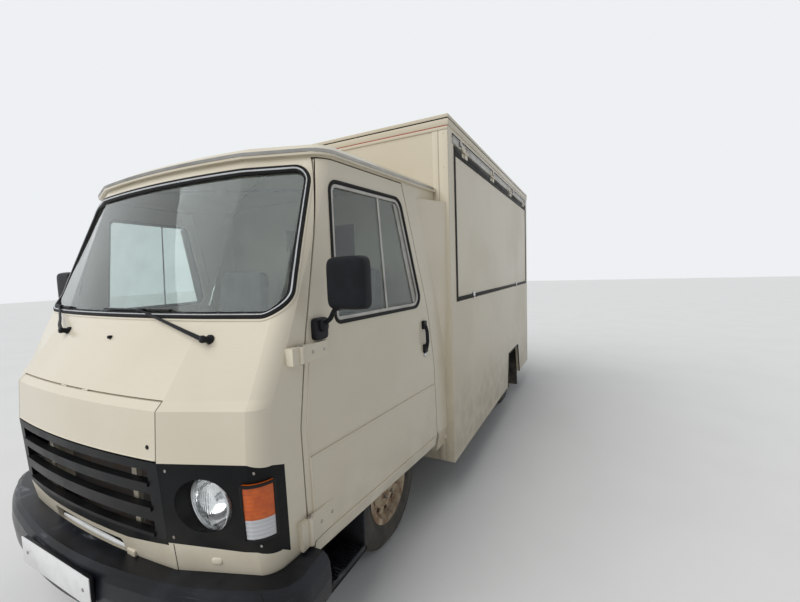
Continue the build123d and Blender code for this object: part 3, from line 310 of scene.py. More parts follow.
def wire_grain(tree, shader, scale, depth):
    """Fine grain in the shader's normal."""
    bumps = group_node(tree, GRAIN, Scale=scale, Depth=depth)
    tree.links.new(bumps.outputs["Normal"], shader.inputs["Normal"])


def opaque(name, slot, main, patch, patch_scale, cover, rough, coat=0.0, shine=0.5, metallic=0.0,
           dirt=0.0, dirt_color=(0.16, 0.13, 0.10), dirt_top=0.9, dirt_foot=0.2,
           scuff=0.0, scuff_scale=20.0, scuff_color=(0.5, 0.5, 0.5), grain=(250.0, 0.0002)):
    """A finish; rough is the roughness of the main colour and of the patches, grain its scale and depth."""
    tree, shader = new_material(name, slot)
    mottle = group_node(tree, MOTTLE, Main=(*main, 1), Patch=(*patch, 1), Scale=patch_scale, Cover=cover)
    color = mottle.outputs["Color"]
    if dirt:
        mask = group_node(tree, ROAD_DIRT, Top=dirt_top, Foot=dirt_foot, Amount=dirt).outputs["Mask"]
        color = blend(tree, mask, color, (*dirt_color, 1))
    if scuff:
        mask = group_node(tree, SCUFFS, Scale=scuff_scale, Amount=scuff).outputs["Mask"]
        color = blend(tree, mask, color, (*scuff_color, 1))
    tree.links.new(color, shader.inputs["Base Color"])
    wire_roughness(tree, shader, mottle.outputs["Mask"], rough)
    wire_grain(tree, shader, *grain)
    set_sockets(shader, {"Metallic": metallic, "Specular IOR Level": shine, "Coat Weight": coat,
                         "Coat Roughness": COAT_ROUGHNESS})


# %% [markdown]
# The paint is an old cream with a soft gloss. It has faded a little unevenly, and road dirt hangs on
# the lower third. The serving body has the same paint, rolled on and not sprayed, so its grain is
# coarser and its coat thinner. Its colour is also a little darker and warmer than the cab's: painted shade
# and a painted warm reflection of its shaded sides. A plain colour would do for a new van, but this one has
# stood outside.

# %% Paints
opaque("cream_gloss", "cream_paint", (0.63, 0.570, 0.455), patch=(0.575, 0.515, 0.395), patch_scale=2.2,
       cover=0.55, rough=(0.30, 0.40), coat=0.35,
       dirt=0.35, dirt_color=(0.30, 0.25, 0.18), dirt_top=0.85, dirt_foot=0.25,
       scuff=0.10, scuff_color=(0.50, 0.44, 0.33), grain=(420.0, 0.00006))
# The serving body's cream is darkened and warmed as painted shade and reflection.
opaque("body_cream", "cream_paint", (0.595, 0.535, 0.42), patch=(0.545, 0.485, 0.37), patch_scale=1.6,
       cover=0.6, rough=(0.34, 0.46), coat=0.12, shine=0.3,
       dirt=0.45, dirt_color=(0.28, 0.23, 0.17), dirt_top=1.0, dirt_foot=0.25,
       scuff=0.08, scuff_color=(0.48, 0.42, 0.32), grain=(180.0, 0.00012))
opaque("wheel_enamel", "wheel_paint", (0.50, 0.40, 0.27), patch=(0.20, 0.10, 0.05), patch_scale=26.0,
       cover=0.85, rough=(0.45, 0.8),
       dirt=0.5, dirt_color=(0.12, 0.08, 0.05), dirt_top=0.6, dirt_foot=0.1, grain=(500.0, 0.0006))
opaque("chassis_black", "chassis_paint", (0.035, 0.033, 0.030), patch=(0.13, 0.07, 0.04), patch_scale=11.0,
       cover=0.6, rough=(0.55, 0.85),
       dirt=0.7, dirt_color=(0.14, 0.11, 0.08), dirt_top=0.75, dirt_foot=0.15, grain=(260.0, 0.0008))
opaque("floor_grey", "floor_paint", (0.20, 0.20, 0.19), patch=(0.13, 0.125, 0.115), patch_scale=7.0,
       cover=0.7, rough=(0.5, 0.7), scuff=0.4, scuff_color=(0.36, 0.35, 0.33), grain=(350.0, 0.0005))
opaque("pinstripe_red", "tail_lens", (0.42, 0.05, 0.03), patch=(0.30, 0.05, 0.03), patch_scale=12.0,
       cover=0.6, rough=(0.45, 0.45))

# %% [markdown]
# Plastics and rubbers. The bumper is moulded in a blue-black plastic that has gone chalky on top and
# is scratched; the grille and lamp panels are satin black; the seals are dull rubber. They differ
# in how dark, rough, dirty and scuffed they are, and the recipe takes all of that as numbers.

# %% Plastics and rubbers
opaque("bumper_black", "black_plastic", (0.004, 0.0045, 0.006), patch=(0.020, 0.022, 0.028), patch_scale=5.0,
       cover=0.7, rough=(0.28, 0.5), shine=0.25,
       dirt=0.25, dirt_color=(0.09, 0.08, 0.065), dirt_top=0.45, dirt_foot=0.30,
       scuff=0.5, scuff_scale=14.0, scuff_color=(0.16, 0.17, 0.19), grain=(650.0, 0.0003))
opaque("grille_black", "black_plastic", (0.0035, 0.004, 0.0045), patch=(0.009, 0.010, 0.011), patch_scale=8.0,
       cover=0.6, rough=(0.34, 0.5), shine=0.14,
       dirt=0.2, dirt_color=(0.08, 0.07, 0.055), dirt_top=0.95, dirt_foot=0.45, grain=(600.0, 0.0002))
opaque("fitting_black", "black_plastic", (0.004, 0.0045, 0.006), patch=(0.012, 0.013, 0.017),
       patch_scale=14.0, cover=0.5, rough=(0.40, 0.55), shine=0.2, grain=(700.0, 0.0003))
opaque("seal_rubber", "flap_rubber", (0.006, 0.006, 0.006), patch=(0.016, 0.015, 0.014), patch_scale=18.0,
       cover=0.6, rough=(0.6, 0.8), shine=0.25, grain=(500.0, 0.0002))
opaque("flap_sheet", "flap_rubber", (0.020, 0.020, 0.020), patch=(0.060, 0.055, 0.048), patch_scale=9.0,
       cover=0.7, rough=(0.75, 0.9),
       dirt=0.8, dirt_color=(0.16, 0.13, 0.10), dirt_top=0.6, dirt_foot=0.1, grain=(300.0, 0.0008))
opaque("tyre_black", "tyre_rubber", (0.022, 0.021, 0.020), patch=(0.055, 0.050, 0.044), patch_scale=15.0,
       cover=0.6, rough=(0.7, 0.88),
       dirt=0.45, dirt_color=(0.14, 0.12, 0.09), dirt_top=0.7, dirt_foot=0.0, grain=(420.0, 0.0005))
opaque("dash_vinyl", "trim_plastic", (0.022, 0.022, 0.024), patch=(0.038, 0.037, 0.037), patch_scale=6.0,
       cover=0.5, rough=(0.55, 0.7), shine=0.3, grain=(550.0, 0.0006))
opaque("plate_white", "trim_plastic", (0.72, 0.73, 0.72), patch=(0.62, 0.62, 0.60), patch_scale=20.0,
       cover=0.5, rough=(0.28, 0.4), coat=0.4,
       dirt=0.3, dirt_color=(0.3, 0.27, 0.22), dirt_top=0.55, dirt_foot=0.35, grain=(900.0, 0.00005))

# %% [markdown]
# Metals: bright trim for the windscreen's bead, the lamp rings, the door locks and the catches, dull
# aluminium for the gutter, the window frames and the hatch rail, brushed steel for the counter, and
# the rusty iron of the engine and the exhaust. Metallic is 1 on the bare ones, and the main colour is
# then the colour of their reflections.

# %% Metals
opaque("bright_trim", "counter_steel", (0.60, 0.61, 0.62), patch=(0.42, 0.42, 0.41), patch_scale=22.0,
       cover=0.5, rough=(0.22, 0.4), metallic=1.0, grain=(300.0, 0.0001))
opaque("dull_aluminium", "counter_steel", (0.36, 0.35, 0.33), patch=(0.27, 0.26, 0.24), patch_scale=9.0,
       cover=0.6, rough=(0.38, 0.55), metallic=1.0,
       scuff=0.3, scuff_color=(0.48, 0.47, 0.44), grain=(260.0, 0.0002))
opaque("brushed_steel", "counter_steel", (0.55, 0.55, 0.54), patch=(0.44, 0.44, 0.43), patch_scale=8.0,
       cover=0.6, rough=(0.28, 0.42), metallic=1.0,
       scuff=0.4, scuff_color=(0.70, 0.70, 0.69), grain=(200.0, 0.0001))
opaque("cast_iron", "bare_steel", (0.10, 0.095, 0.09), patch=(0.16, 0.09, 0.055), patch_scale=16.0,
       cover=0.6, rough=(0.6, 0.85), metallic=0.6, dirt=0.5, grain=(220.0, 0.001))
opaque("screw_steel", "counter_steel", (0.40, 0.39, 0.37), patch=(0.25, 0.17, 0.11), patch_scale=60.0,
       cover=0.6, rough=(0.35, 0.6), metallic=1.0)
opaque("lamp_mirror", "counter_steel", (0.86, 0.86, 0.86), patch=(0.74, 0.74, 0.74), patch_scale=30.0,
       cover=0.4, rough=(0.08, 0.2), metallic=1.0, grain=(80.0, 0.00005))

# %% [markdown]
# Glass and lenses let light through, so they need a recipe of their own. Transmission and metallic
# stay plain numbers, because a window that is clear in one place and solid in the next isn't glass.
# The window glass has a faint green tint and a thin film of dust in its roughness. The lamp lenses
# are clear, amber and red; their moulded ribs are waves in the normal, too fine to be worth modelling.

# %% The recipe for glass and lenses
GLASS_IOR = 1.5
RIB_DEPTH = 0.0015
WAVES_PER_SCALE = 10 / math.pi  # a wave texture of scale 1 has this many waves to a metre
UPRIGHT = (0, math.radians(90), 0)


def rib_normal(tree, shader, scale, depth):
    """Level ribs, one above the other, in the shader's normal."""
    upright = add_node(tree, "Mapping", {"Vector": place(tree), "Rotation": UPRIGHT})
    wave = add_node(tree, "TexWave", {"Vector": upright.outputs["Vector"], "Scale": scale})
    bump = add_node(tree, "Bump", {"Height": wave.outputs["Fac"], "Distance": depth})
    tree.links.new(bump.outputs["Normal"], shader.inputs["Normal"])


def clear(name, slot, tint, rough, transmission=1.0, ribs=0, coat=0.0):
    """Glass or clear plastic; ribs is how many moulded ribs there are to a metre of height."""
    tree, shader = new_material(name, slot)
    faded = [0.9 * c for c in tint]
    mottle = group_node(tree, MOTTLE, Main=(*tint, 1), Patch=(*faded, 1), Scale=6.0, Cover=0.5)
    tree.links.new(mottle.outputs["Color"], shader.inputs["Base Color"])
    wire_roughness(tree, shader, mottle.outputs["Mask"], rough)
    set_sockets(shader, {"Transmission Weight": transmission, "IOR": GLASS_IOR, "Coat Weight": coat})
    if ribs:
        rib_normal(tree, shader, ribs / WAVES_PER_SCALE, RIB_DEPTH)
    else:
        wire_grain(tree, shader, 30.0, 0.00002)


clear("window_clear", "window_glass", (0.72, 0.80, 0.78), (0.0, 0.05))
clear("lamp_clear", "headlamp_glass", (0.94, 0.96, 0.96), (0.02, 0.08))
# The mirror glass is opaque pale blue-grey, not metal: a painted reflection of the sky.
clear("mirror_sky_reflection", "headlamp_glass", (0.75, 0.78, 0.80), (0.02, 0.05), transmission=0.0, coat=1.0)
clear("lens_amber", "indicator_lens", (0.90, 0.22, 0.015), (0.08, 0.16), 0.35, ribs=45, coat=0.6)
clear("lens_white", "headlamp_glass", (0.80, 0.82, 0.84), (0.06, 0.14), 0.55, ribs=45, coat=0.6)
clear("lens_red", "tail_lens", (0.55, 0.015, 0.01), (0.08, 0.16), 0.3, ribs=45, coat=0.6)

# %% [markdown]
# Each indicator is one moulding that wraps the corner, amber above and clear at its foot. It could be
# cut into two pieces with a material each. It is left whole here, as the real one is, and the two
# colours meet at a height inside one material.

# %% Two-part indicator lens
AMBER_FOOT, COLOR_EDGE = 0.728, 0.0006
AMBER, DEEP_AMBER, CLEAR_FOOT = (0.72, 0.13, 0.006, 1), (0.52, 0.075, 0.004, 1), (0.62, 0.63, 0.65, 1)


def two_part_lens():
    """Amber above a line and clear below it, ribbed all over."""
    tree, shader = new_material("lens_two_part", "indicator_lens")
    height = add_node(tree, "SeparateXYZ", {"Vector": place(tree)}).outputs["Z"]
    upper = between(tree, height, AMBER_FOOT - COLOR_EDGE, AMBER_FOOT + COLOR_EDGE)
    mottle = group_node(tree, MOTTLE, Main=AMBER, Patch=DEEP_AMBER, Scale=40.0, Cover=0.6)
    color = blend(tree, upper, CLEAR_FOOT, mottle.outputs["Color"])
    tree.links.new(color, shader.inputs["Base Color"])
    set_sockets(shader, {"Roughness": 0.18, "Transmission Weight": 0.25, "Specular IOR Level": 0.35,
                         "Coat Weight": 0.25})
    rib_normal(tree, shader, 22.0, 0.0012)


two_part_lens()
print("two-part lens changes colour at", AMBER_FOOT)

# %% [markdown]
# The seats are covered in a grey woven cloth. Threads could be modelled for a picture from close by,
# but these are seen through the glass. Two sets of fine waves at right angles make the threads. Where
# both stand high the cloth is painted a little lighter, a painted highlight on the raised threads, which
# reads as weave.

# %% Woven seat cloth
def weave_group():
    """Crossing threads: a height for the bump, and the same height as a mask for a painted highlight."""
    tree, given, result = new_group(
        "weave", [("Threads", "Float", 300.0), ("Depth", "Float", 0.0006)],
        [("Normal", "Vector"), ("Mask", "Float")])
    waves = []
    for turn in ((0, 0, 0), (0, math.radians(90), math.radians(90))):
        where = add_node(tree, "Mapping", {"Vector": place(tree), "Rotation": turn}).outputs["Vector"]
        thread = {"Vector": where, "Scale": given.outputs["Threads"], "Distortion": 0.6}
        waves.append(add_node(tree, "TexWave", thread).outputs["Fac"])
    both = add_node(tree, "Math", {0: waves[0], 1: waves[1]}, operation="MULTIPLY").outputs[0]
    bump = add_node(tree, "Bump", {"Height": both, "Distance": given.outputs["Depth"]})
    tree.links.new(bump.outputs["Normal"], result.inputs["Normal"])
    tree.links.new(both, result.inputs["Mask"])
    return tree


WEAVE = weave_group()
CLOTH, WORN_CLOTH, THREAD_HIGHLIGHT = (0.10, 0.10, 0.11, 1), (0.16, 0.155, 0.15, 1), (0.20, 0.20, 0.21, 1)


def seat_cloth():
    """Grey cloth, worn lighter in patches, with a painted highlight where the threads stand high."""
    tree, shader = new_material("seat_weave", "seat_cloth")
    threads = group_node(tree, WEAVE, Threads=220.0)
    worn = group_node(tree, MOTTLE, Main=CLOTH, Patch=WORN_CLOTH, Scale=7.0, Cover=0.7)
    color = blend(tree, threads.outputs["Mask"], worn.outputs["Color"], THREAD_HIGHLIGHT)
    tree.links.new(color, shader.inputs["Base Color"])
    tree.links.new(threads.outputs["Normal"], shader.inputs["Normal"])
    set_sockets(shader, {"Roughness": 0.9, "Sheen Weight": 0.4})


seat_cloth()
print("finishes", len(looks))

# %% [markdown]
# Every CAD piece gets a finish here. Most of them stay in the picture as they are, and a few are
# replaced further on. A table of finishes, each with the pieces that wear it, is easier to check
# against the real truck than a list of pieces would be.

# %% Dress the CAD pieces
DRESS = {
    "cream_gloss": ["front_panel", "cab_quarters", "cab_roof", "door_left", "door_right", "bonnet"],
    "body_cream": ["box_front_wall", "box_left_wall", "box_right_wall", "box_rear_wall", "box_roof",
                   "hatch_flap", "rear_door"],
    "bumper_black": ["front_bumper"],
    "grille_black": ["grille", "lamp_panels"],
    "fitting_black": ["wipers", "door_fittings_left", "door_fittings_right", "steps"],
    "window_clear": ["windscreen", "door_glass_left", "door_glass_right"],
    "flap_sheet": ["mudflaps"],
    "tyre_black": ["tyre_front_left", "tyre_front_right", "tyre_rear_left", "tyre_rear_right"],
    "wheel_enamel": ["wheel_front_left", "wheel_front_right", "wheel_rear_left", "wheel_rear_right"],
    "chassis_black": ["chassis_frame", "rear_axle", "knuckle_left", "knuckle_right", "fuel_tank"],
    "cast_iron": ["exhaust", "engine_block", "radiator"],
    "dash_vinyl": ["dashboard", "steering_wheel"],
    "floor_grey": ["cab_floor", "box_floor"],
    "brushed_steel": ["serving_counter"],
    "lens_red": ["tail_lamps"],
    "lamp_clear": ["headlamps"],
    "lens_two_part": ["indicators"],
    "seat_weave": ["seats"],
}


def wear(node, look):
    """Puts a finish on a CAD piece."""
    material = looks[look][0]
    if not nodes[node].material_slots:
        nodes[node].data.materials.append(material)
    for slot_of_node in nodes[node].material_slots:
        slot_of_node.material = material


for look, names in DRESS.items():
    for name in names:
        wear(name, look)
print("dressed", sum(len(names) for names in DRESS.values()), "of", len(nodes))

# %% [markdown]
# Most of the small pieces are grids: rows of points with faces between them. A tube is a grid whose
# rows are rings along a path. Curve objects could draw the tubes, but a bmesh can hold several
# surfaces at once, so that one piece is one mesh.

# %% Grids and tubes
def full_turn(steps):
    """Equal steps of a full turn, as angles."""
    return [math.tau * k / steps for k in range(steps)]


def grid(bm, rows, close_rows=False, close_columns=False):
    """A surface through rows of points."""
    made = [[bm.verts.new(point) for point in row] for row in rows]
    row_count, count = len(made), len(made[0])
    for i in range(row_count if close_rows else row_count - 1):
        for j in range(count if close_columns else count - 1):
            across, down = (j + 1) % count, (i + 1) % row_count
            bm.faces.new((made[i][j], made[i][across], made[down][across], made[down][j]))
    return made


def tube(bm, path, radius, sides=8, closed=False, flat=1.0):
    """A tube along a path; flat below 1 squeezes it. radius may be a function of the share of the path."""
    path = [Vector(point) for point in path]
    count = len(path)
    rings, across = [], None
    for i, point in enumerate(path):
        before = path[i - 1] if closed or i else point
        after = path[(i + 1) % count] if closed or i < count - 1 else point
        run = (after - before).normalized()
        if across is None:
            across = run.orthogonal()
        across = (across - run * across.dot(run)).normalized()
        other = run.cross(across)
        wide = radius(i / (count - 1)) if callable(radius) else radius
        rings.append([point + wide * (math.cos(turn) * across + flat * math.sin(turn) * other)
                      for turn in full_turn(sides)])
    made = grid(bm, rings, close_rows=closed, close_columns=True)
    if not closed:
        for end in (made[0], made[-1]):
            bm.faces.new(end)


# %% [markdown]
# Every added piece goes through one function, which turns its bmesh into an object with smooth faces
# and sharp corners, gives it its finish, and lets it ride on the body that
# carries it: a seal on a door has to swing with the door. The truck's two sides are alike, so most
# pairs are drawn on the left side, and side -1 mirrors the piece.

# %% Make a piece
WELD = 1e-6
pieces = []


def make_piece(name, bm, look, body="root", replaces=(), sharp=35, side=1):
    """An object from the bmesh; sharp is the angle in degrees above which an edge stays hard."""
    for vert in bm.verts:
        vert.co.x *= side
    bmesh.ops.remove_doubles(bm, verts=bm.verts, dist=WELD)
    bmesh.ops.dissolve_degenerate(bm, edges=bm.edges, dist=WELD / 10)
    bmesh.ops.recalc_face_normals(bm, faces=bm.faces)
    mesh = bpy.data.meshes.new(name)
    bm.to_mesh(mesh)
    bm.free()
    mesh.polygons.foreach_set("use_smooth", [True] * len(mesh.polygons))
    mesh.set_sharp_from_angle(angle=math.radians(sharp))
    made = bpy.data.objects.new(name, mesh)
    bpy.context.scene.collection.objects.link(made)
    material, slot = looks[look]
    mesh.materials.append(material)
    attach(made, body)
    if replaces:
        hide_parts(*replaces)
    pieces.append(made)
    print(f"{name}: {len(mesh.polygons)} faces, {look}, on {body}")
    return made


# %% [markdown]
# Seals and trims must lie on the body's curved skin. Instead of repeating the CAD's sizes, a ray is
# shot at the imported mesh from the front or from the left, and the piece is set off from the point
# that the ray meets. A drawing in two dimensions then lands on the skin wherever the skin is.

# %% Rays at the skin
# Columns: where the rays start, the way they run, the two axes of the drawing.
FROM_FRONT = (Vector((0, -4, 0)), Vector((0, 1, 0)), (0, 2))
FROM_LEFT = (Vector((3, 0, 0)), Vector((-1, 0, 0)), (1, 2))


def skin_of(*names):
    """A tree of the CAD pieces' triangles to shoot rays at."""
    verts, faces = [], []
    for name in names:
        mesh = nodes[name].data
        start = len(verts)
        verts += [vert.co.copy() for vert in mesh.vertices]
        faces += [[start + i for i in polygon.vertices] for polygon in mesh.polygons]
    return BVHTree.FromPolygons(verts, faces)


def in_space(view, flat):
    """A point or direction of the view's drawing, put in the truck's frame."""
    made = Vector((0, 0, 0))
    for axis, value in zip(view[2], flat):
        made[axis] = value
    return made


def meet(skin, view, point):
    """Where a ray along the view meets the skin at a point of a drawing, and the skin's normal there."""
    origin, run, _ = view
    where, normal, _, _ = skin.ray_cast(in_space(view, point) + origin, run)
    if where is None:
        raise ValueError(f"no skin at {tuple(point)}")
    return where, normal if normal.dot(run) < 0 else -normal


def from_front(skin, x, z, stand=0.0):
    """Point on the skin seen from ahead at (x, z), brought forward by stand."""
    return meet(skin, FROM_FRONT, (x, z))[0] + Vector((0, -stand, 0))


def from_left(skin, y, z, stand=0.0):
    """Point on the skin seen from the left at (y, z), brought out by stand."""
    return meet(skin, FROM_LEFT, (y, z))[0] + Vector((stand, 0, 0))


cab_front = skin_of("front_panel", "windscreen", "bonnet", "grille", "lamp_panels")
cab_left = skin_of("door_left", "door_glass_left", "front_panel", "cab_quarters")
print("bonnet at x 0.2 and height 1.0 stands at y", round(from_front(cab_front, 0.2, 1.0).y, 3))

# %% [markdown]
# A window opening is a polygon with rounded corners. It could be listed point by point, but then a
# corner can't be made rounder. So a window is its four corners and their radii, and the arcs and the
# points between them are worked out.

# %% Rounded and stepped outlines
def rounded(corners, radii, step=0.02):
    """A closed outline through the corners, each rounded by an arc, with points about a step apart."""
    outline = []
    count = len(corners)
    points = [Vector(corner) for corner in corners]
    for i in range(count):
        here = points[i]
        back, on = (points[i - 1] - here).normalized(), (points[(i + 1) % count] - here).normalized()
        half = back.angle(on) / 2
        centre = here + (back + on).normalized() * radii[i] / math.sin(half)
        spoke = here + back * radii[i] / math.tan(half) - centre
        sweep = math.copysign(math.pi - 2 * half, spoke.y * back.x - spoke.x * back.y)
        bends = max(3, int(radii[i] * abs(sweep) / step * 2))
        for k in range(bends + 1):
            turn = sweep * k / bends
            outline.append(centre + Vector((spoke.x * math.cos(turn) - spoke.y * math.sin(turn),
                                            spoke.x * math.sin(turn) + spoke.y * math.cos(turn))))
        following = points[(i + 1) % count]
        beyond = (points[(i + 2) % count] - following).normalized()
        goal = following - on * radii[(i + 1) % count] / math.tan((-on).angle(beyond) / 2)
        end = outline[-1]
        runs = max(1, int((goal - end).length / step))
        outline += [end.lerp(goal, k / runs) for k in range(1, runs)]
    return outline


def stepped(corners, steps=None, pitch=0.04):
    """Points along the runs between corners: so many steps to a run, or one about every pitch."""
    corners = [Vector(corner) for corner in corners]
    path = []
    for start, end in zip(corners, corners[1:]):
        runs = steps or max(2, int((end - start).length / pitch))
        path += [start.lerp(end, k / runs) for k in range(runs)]
    return path + [corners[-1]]


def from_axle(corners):
    """Corners drawn from the front axle, put in the truck's own lengths."""
    return [(FRONT_AXLE + back, height) for back, height in corners]


# %% [markdown]
# A rubber seal lies half on the glass and half on the panel, and the two are at different depths. A
# band is a strip swept along an outline: each row of its profile is how far out from the outline it
# lies and how far it stands above the surface there. Rows inside the outline feel for the glass and
# rows outside it for the panel, so the seal bridges the step as the real one does.

# %% Bands along an outline
def outward(outline, i, closed):
    """Normal of an outline at a point, away from its middle."""
    count = len(outline)
    before = outline[i - 1] if closed or i else outline[i]
    after = outline[(i + 1) % count] if closed or i < count - 1 else outline[i]
    run = (after - before).normalized()
    normal = Vector((run.y, -run.x))
    middle = sum(outline, Vector((0, 0))) / count
    return normal if normal.dot(outline[i] - middle) > 0 else -normal


def averaged(directions, closed, reach=2):
    """Each direction averaged with its neighbours."""
    count = len(directions)
    near = [[k % count for k in range(i - reach, i + reach + 1) if closed or 0 <= k < count]
            for i in range(count)]
    return [sum((directions[k] for k in group), Vector()).normalized() for group in near]


def band(bm, outline, profile, view, inner, outer=None, closed=True, probe=0.004):
    """A strip along an outline on the skin; probe is how far inside the outline the rays are shot."""
    count = len(outline)
    drawn = [outward(outline, i, closed) for i in range(count)]
    met = [meet(inner, view, point - normal * probe) for point, normal in zip(outline, drawn)]
    normals = averaged([normal for _, normal in met], closed)
    sideways = []
    for i, normal in enumerate(normals):
        before = met[i - 1][0] if closed or i else met[i][0]
        after = met[(i + 1) % count][0] if closed or i < count - 1 else met[i][0]
        across = (after - before).cross(normal).normalized()
        sideways.append(across if across.dot(in_space(view, drawn[i])) > 0 else -across)
    sideways = averaged(sideways, closed, 1)
    rows = []
    for offset, stand in profile:
        row = []
        for i, (where, _) in enumerate(met):
            edge = where + sideways[i] * probe / sideways[i].dot(in_space(view, drawn[i]))
            point = edge + sideways[i] * offset
            if offset < 0:
                point = inner.find_nearest(point)[0]
            elif outer:
                point = outer.find_nearest(point + normals[i] * GLASS_SET)[0]
            row.append(point + normals[i] * stand)
        rows.append(row)
    grid(bm, rows, close_columns=closed)


# %% [markdown]
# The windscreen sits in a black rubber seal with a bright filler strip pressed into it, and the
# panel has a narrow raised flange outside the rubber. A picture of the screen's edge could be mapped
# on, but all three catch the light. They are three bands along the opening, and differ in how far out
# they lie and how far they stand up.

# %% Windscreen seal
screen_low, screen_high = box_of("windscreen")
SCREEN_FOOT, SCREEN_HEAD = screen_low[2], screen_high[2]
SCREEN_FOOT_HALF, SCREEN_HEAD_HALF = 0.832, 0.785
SCREEN_CORNERS = [(-SCREEN_FOOT_HALF, SCREEN_FOOT), (-SCREEN_HEAD_HALF, SCREEN_HEAD),
                  (SCREEN_HEAD_HALF, SCREEN_HEAD), (SCREEN_FOOT_HALF, SCREEN_FOOT)]
SCREEN_ROUNDS = (0.08, 0.07, 0.07, 0.08)
screen_outline = rounded(SCREEN_CORNERS, SCREEN_ROUNDS)
screen_glass, screen_panel = skin_of("windscreen"), skin_of("front_panel")
# Columns: piece, finish, skin outside the opening, and the profile as (out from the edge, height).
SCREEN_STRIPS = [
    ("screen_seal", "seal_rubber", screen_panel,
     [(-0.017, 0.001), (-0.016, 0.008), (-0.009, 0.014), (0.004, 0.008), (0.010, 0.006), (0.012, 0.0003)]),
    ("screen_bead", "bright_trim", None,
     [(-0.0075, 0.0140), (-0.0055, 0.0170), (-0.0015, 0.0175), (-0.0005, 0.0145)]),
    ("screen_flange", "cream_gloss", screen_panel,
     [(0.0115, 0.0005), (0.013, 0.0035), (0.019, 0.0035), (0.022, -0.0005)]),
]
for name, look, outer, profile in SCREEN_STRIPS:
    bm = bmesh.new()
    band(bm, screen_outline, profile, FROM_FRONT, screen_glass, outer)
    make_piece(name, bm, look)

# %% [markdown]
# The door windows are sliding ones: a rubber seal, a thin aluminium frame inside it, and an upright
# where the front pane ends. The rear channel of the frame is wider, because the pane runs in it.
# The seal and the frame are bands like the windscreen's. The upright is a flattened tube and the
# channel a short grid, both set on the glass by rays.

# %% Door window frames
window_low, window_high = box_of("door_glass_left")
WINDOW_FOOT, WINDOW_HEAD = window_low[2], window_high[2]
WINDOW_CORNERS = from_axle([(-0.528, WINDOW_FOOT), (-0.488, WINDOW_HEAD), (0.046, WINDOW_HEAD),
                            (0.186, WINDOW_FOOT)])
WINDOW_ROUNDS = (0.030, 0.045, 0.060, 0.060)
SEAL_PROFILE = [(-0.006, 0.0005), (-0.005, 0.012), (0.002, 0.007), (0.0095, 0.005), (0.011, 0.0003)]
FRAME_PROFILE = [(-0.0205, 0.0003), (-0.0200, 0.0075), (-0.0150, 0.0095), (-0.0060, 0.0090),
                 (-0.0055, 0.0003)]
CHANNEL_PROFILE = [(-0.012, 0.0003), (-0.011, 0.0040), (0.030, 0.0040), (0.032, 0.0003)]
UPRIGHT_ENDS = from_axle([(-0.145, 1.340), (-0.145, 1.878)])
CHANNEL_ENDS = from_axle([(0.125, 1.345), (0.006, 1.868)])
UPRIGHT_RADIUS, UPRIGHT_STAND = 0.006, 0.003
window_outline = rounded(WINDOW_CORNERS, WINDOW_ROUNDS)
door_skin, door_glass = skin_of("door_left"), skin_of("door_glass_left")
for side_name, side in SIDES:
    body = f"cab_door_{side_name}"
    bm = bmesh.new()
    band(bm, window_outline, SEAL_PROFILE, FROM_LEFT, door_glass, door_skin)
    make_piece(f"window_seal_{side_name}", bm, "seal_rubber", body, side=side)
    bm = bmesh.new()
    band(bm, window_outline, FRAME_PROFILE, FROM_LEFT, door_glass)
    foot, head = (from_left(door_glass, *end, UPRIGHT_STAND) for end in UPRIGHT_ENDS)
    tube(bm, stepped([foot, head], 6), UPRIGHT_RADIUS, flat=0.7)
    ends = [from_left(door_glass, *end) for end in CHANNEL_ENDS]
    grid(bm, [[end + Vector((stand, shift, 0)) for shift, stand in CHANNEL_PROFILE] for end in ends])
    make_piece(f"window_frame_{side_name}", bm, "dull_aluminium", body, side=side)

# %% [markdown]
# Black rubber fills the gap round each door. Without it, light would leak into the cab through the
# gap and the door would have no dark outline. It is a band too, an open one, sunk a little below the
# skin. It stays on the cab when the door opens.

# %% Door gap seals
# Columns: distance behind the front axle, height.
DOOR_EDGE = from_axle([(-0.750, 0.700), (-0.750, 0.960), (-0.692, 1.314), (-0.522, 1.984), (0.080, 1.984),
                       (0.180, 1.596), (0.268, 1.250), (0.311, 0.966), (0.311, 0.560)])
GAP_PROFILE = [(0.0010, -0.022), (0.0012, -0.007), (0.0072, -0.005), (0.0075, -0.022)]
door_outline = stepped(DOOR_EDGE)
for side_name, side in SIDES:
    bm = bmesh.new()
    band(bm, door_outline, GAP_PROFILE, FROM_LEFT, door_skin, closed=False, probe=0.010)
    make_piece(f"door_gap_seal_{side_name}", bm, "seal_rubber", side=side)

# %% [markdown]
# Each door has two creases pressed along it and a fold down its front edge. The CAD has them as sharp
# steps. A bevel on the CAD mesh would need its edges picked by hand. A fine tube laid along each step
# gives the same rounded edge, which catches the light as folded sheet does.

# %% Door creases
CREASE_LINES = [
    from_axle([(-0.722, 0.8380), (0.286, 0.8380)]),
    from_axle([(-0.722, 0.5210), (0.286, 0.5210)]),
    from_axle([(-0.7215, 0.645), (-0.7215, 0.965), (-0.691, 1.190)]),
]
CREASE_RADIUS, CREASE_STAND = 0.0030, 0.0005
for side_name, side in SIDES:
    bm = bmesh.new()
    for line in CREASE_LINES:
        points = [from_left(door_skin, at.x, at.y, CREASE_STAND) for at in stepped(line, 24)]
        tube(bm, points, CREASE_RADIUS)
    make_piece(f"door_creases_{side_name}", bm, "cream_gloss", f"cab_door_{side_name}", side=side)

# %% [markdown]
# The gutter round the cab roof is capped with a strip of dull aluminium. Its path curves round the
# whole roof, so drawing it would mean repeating the roof's shape. It is felt for instead, with rays
# that point inwards from all round, and the strip's profile is set off from the points they meet.

# %% Gutter strip
GUTTER_LOW, GUTTER_TOP = 1.998, 2.020
GUTTER_HEIGHT = (GUTTER_LOW + GUTTER_TOP) / 2
GUTTER_STOP = BODY_FRONT - 0.003
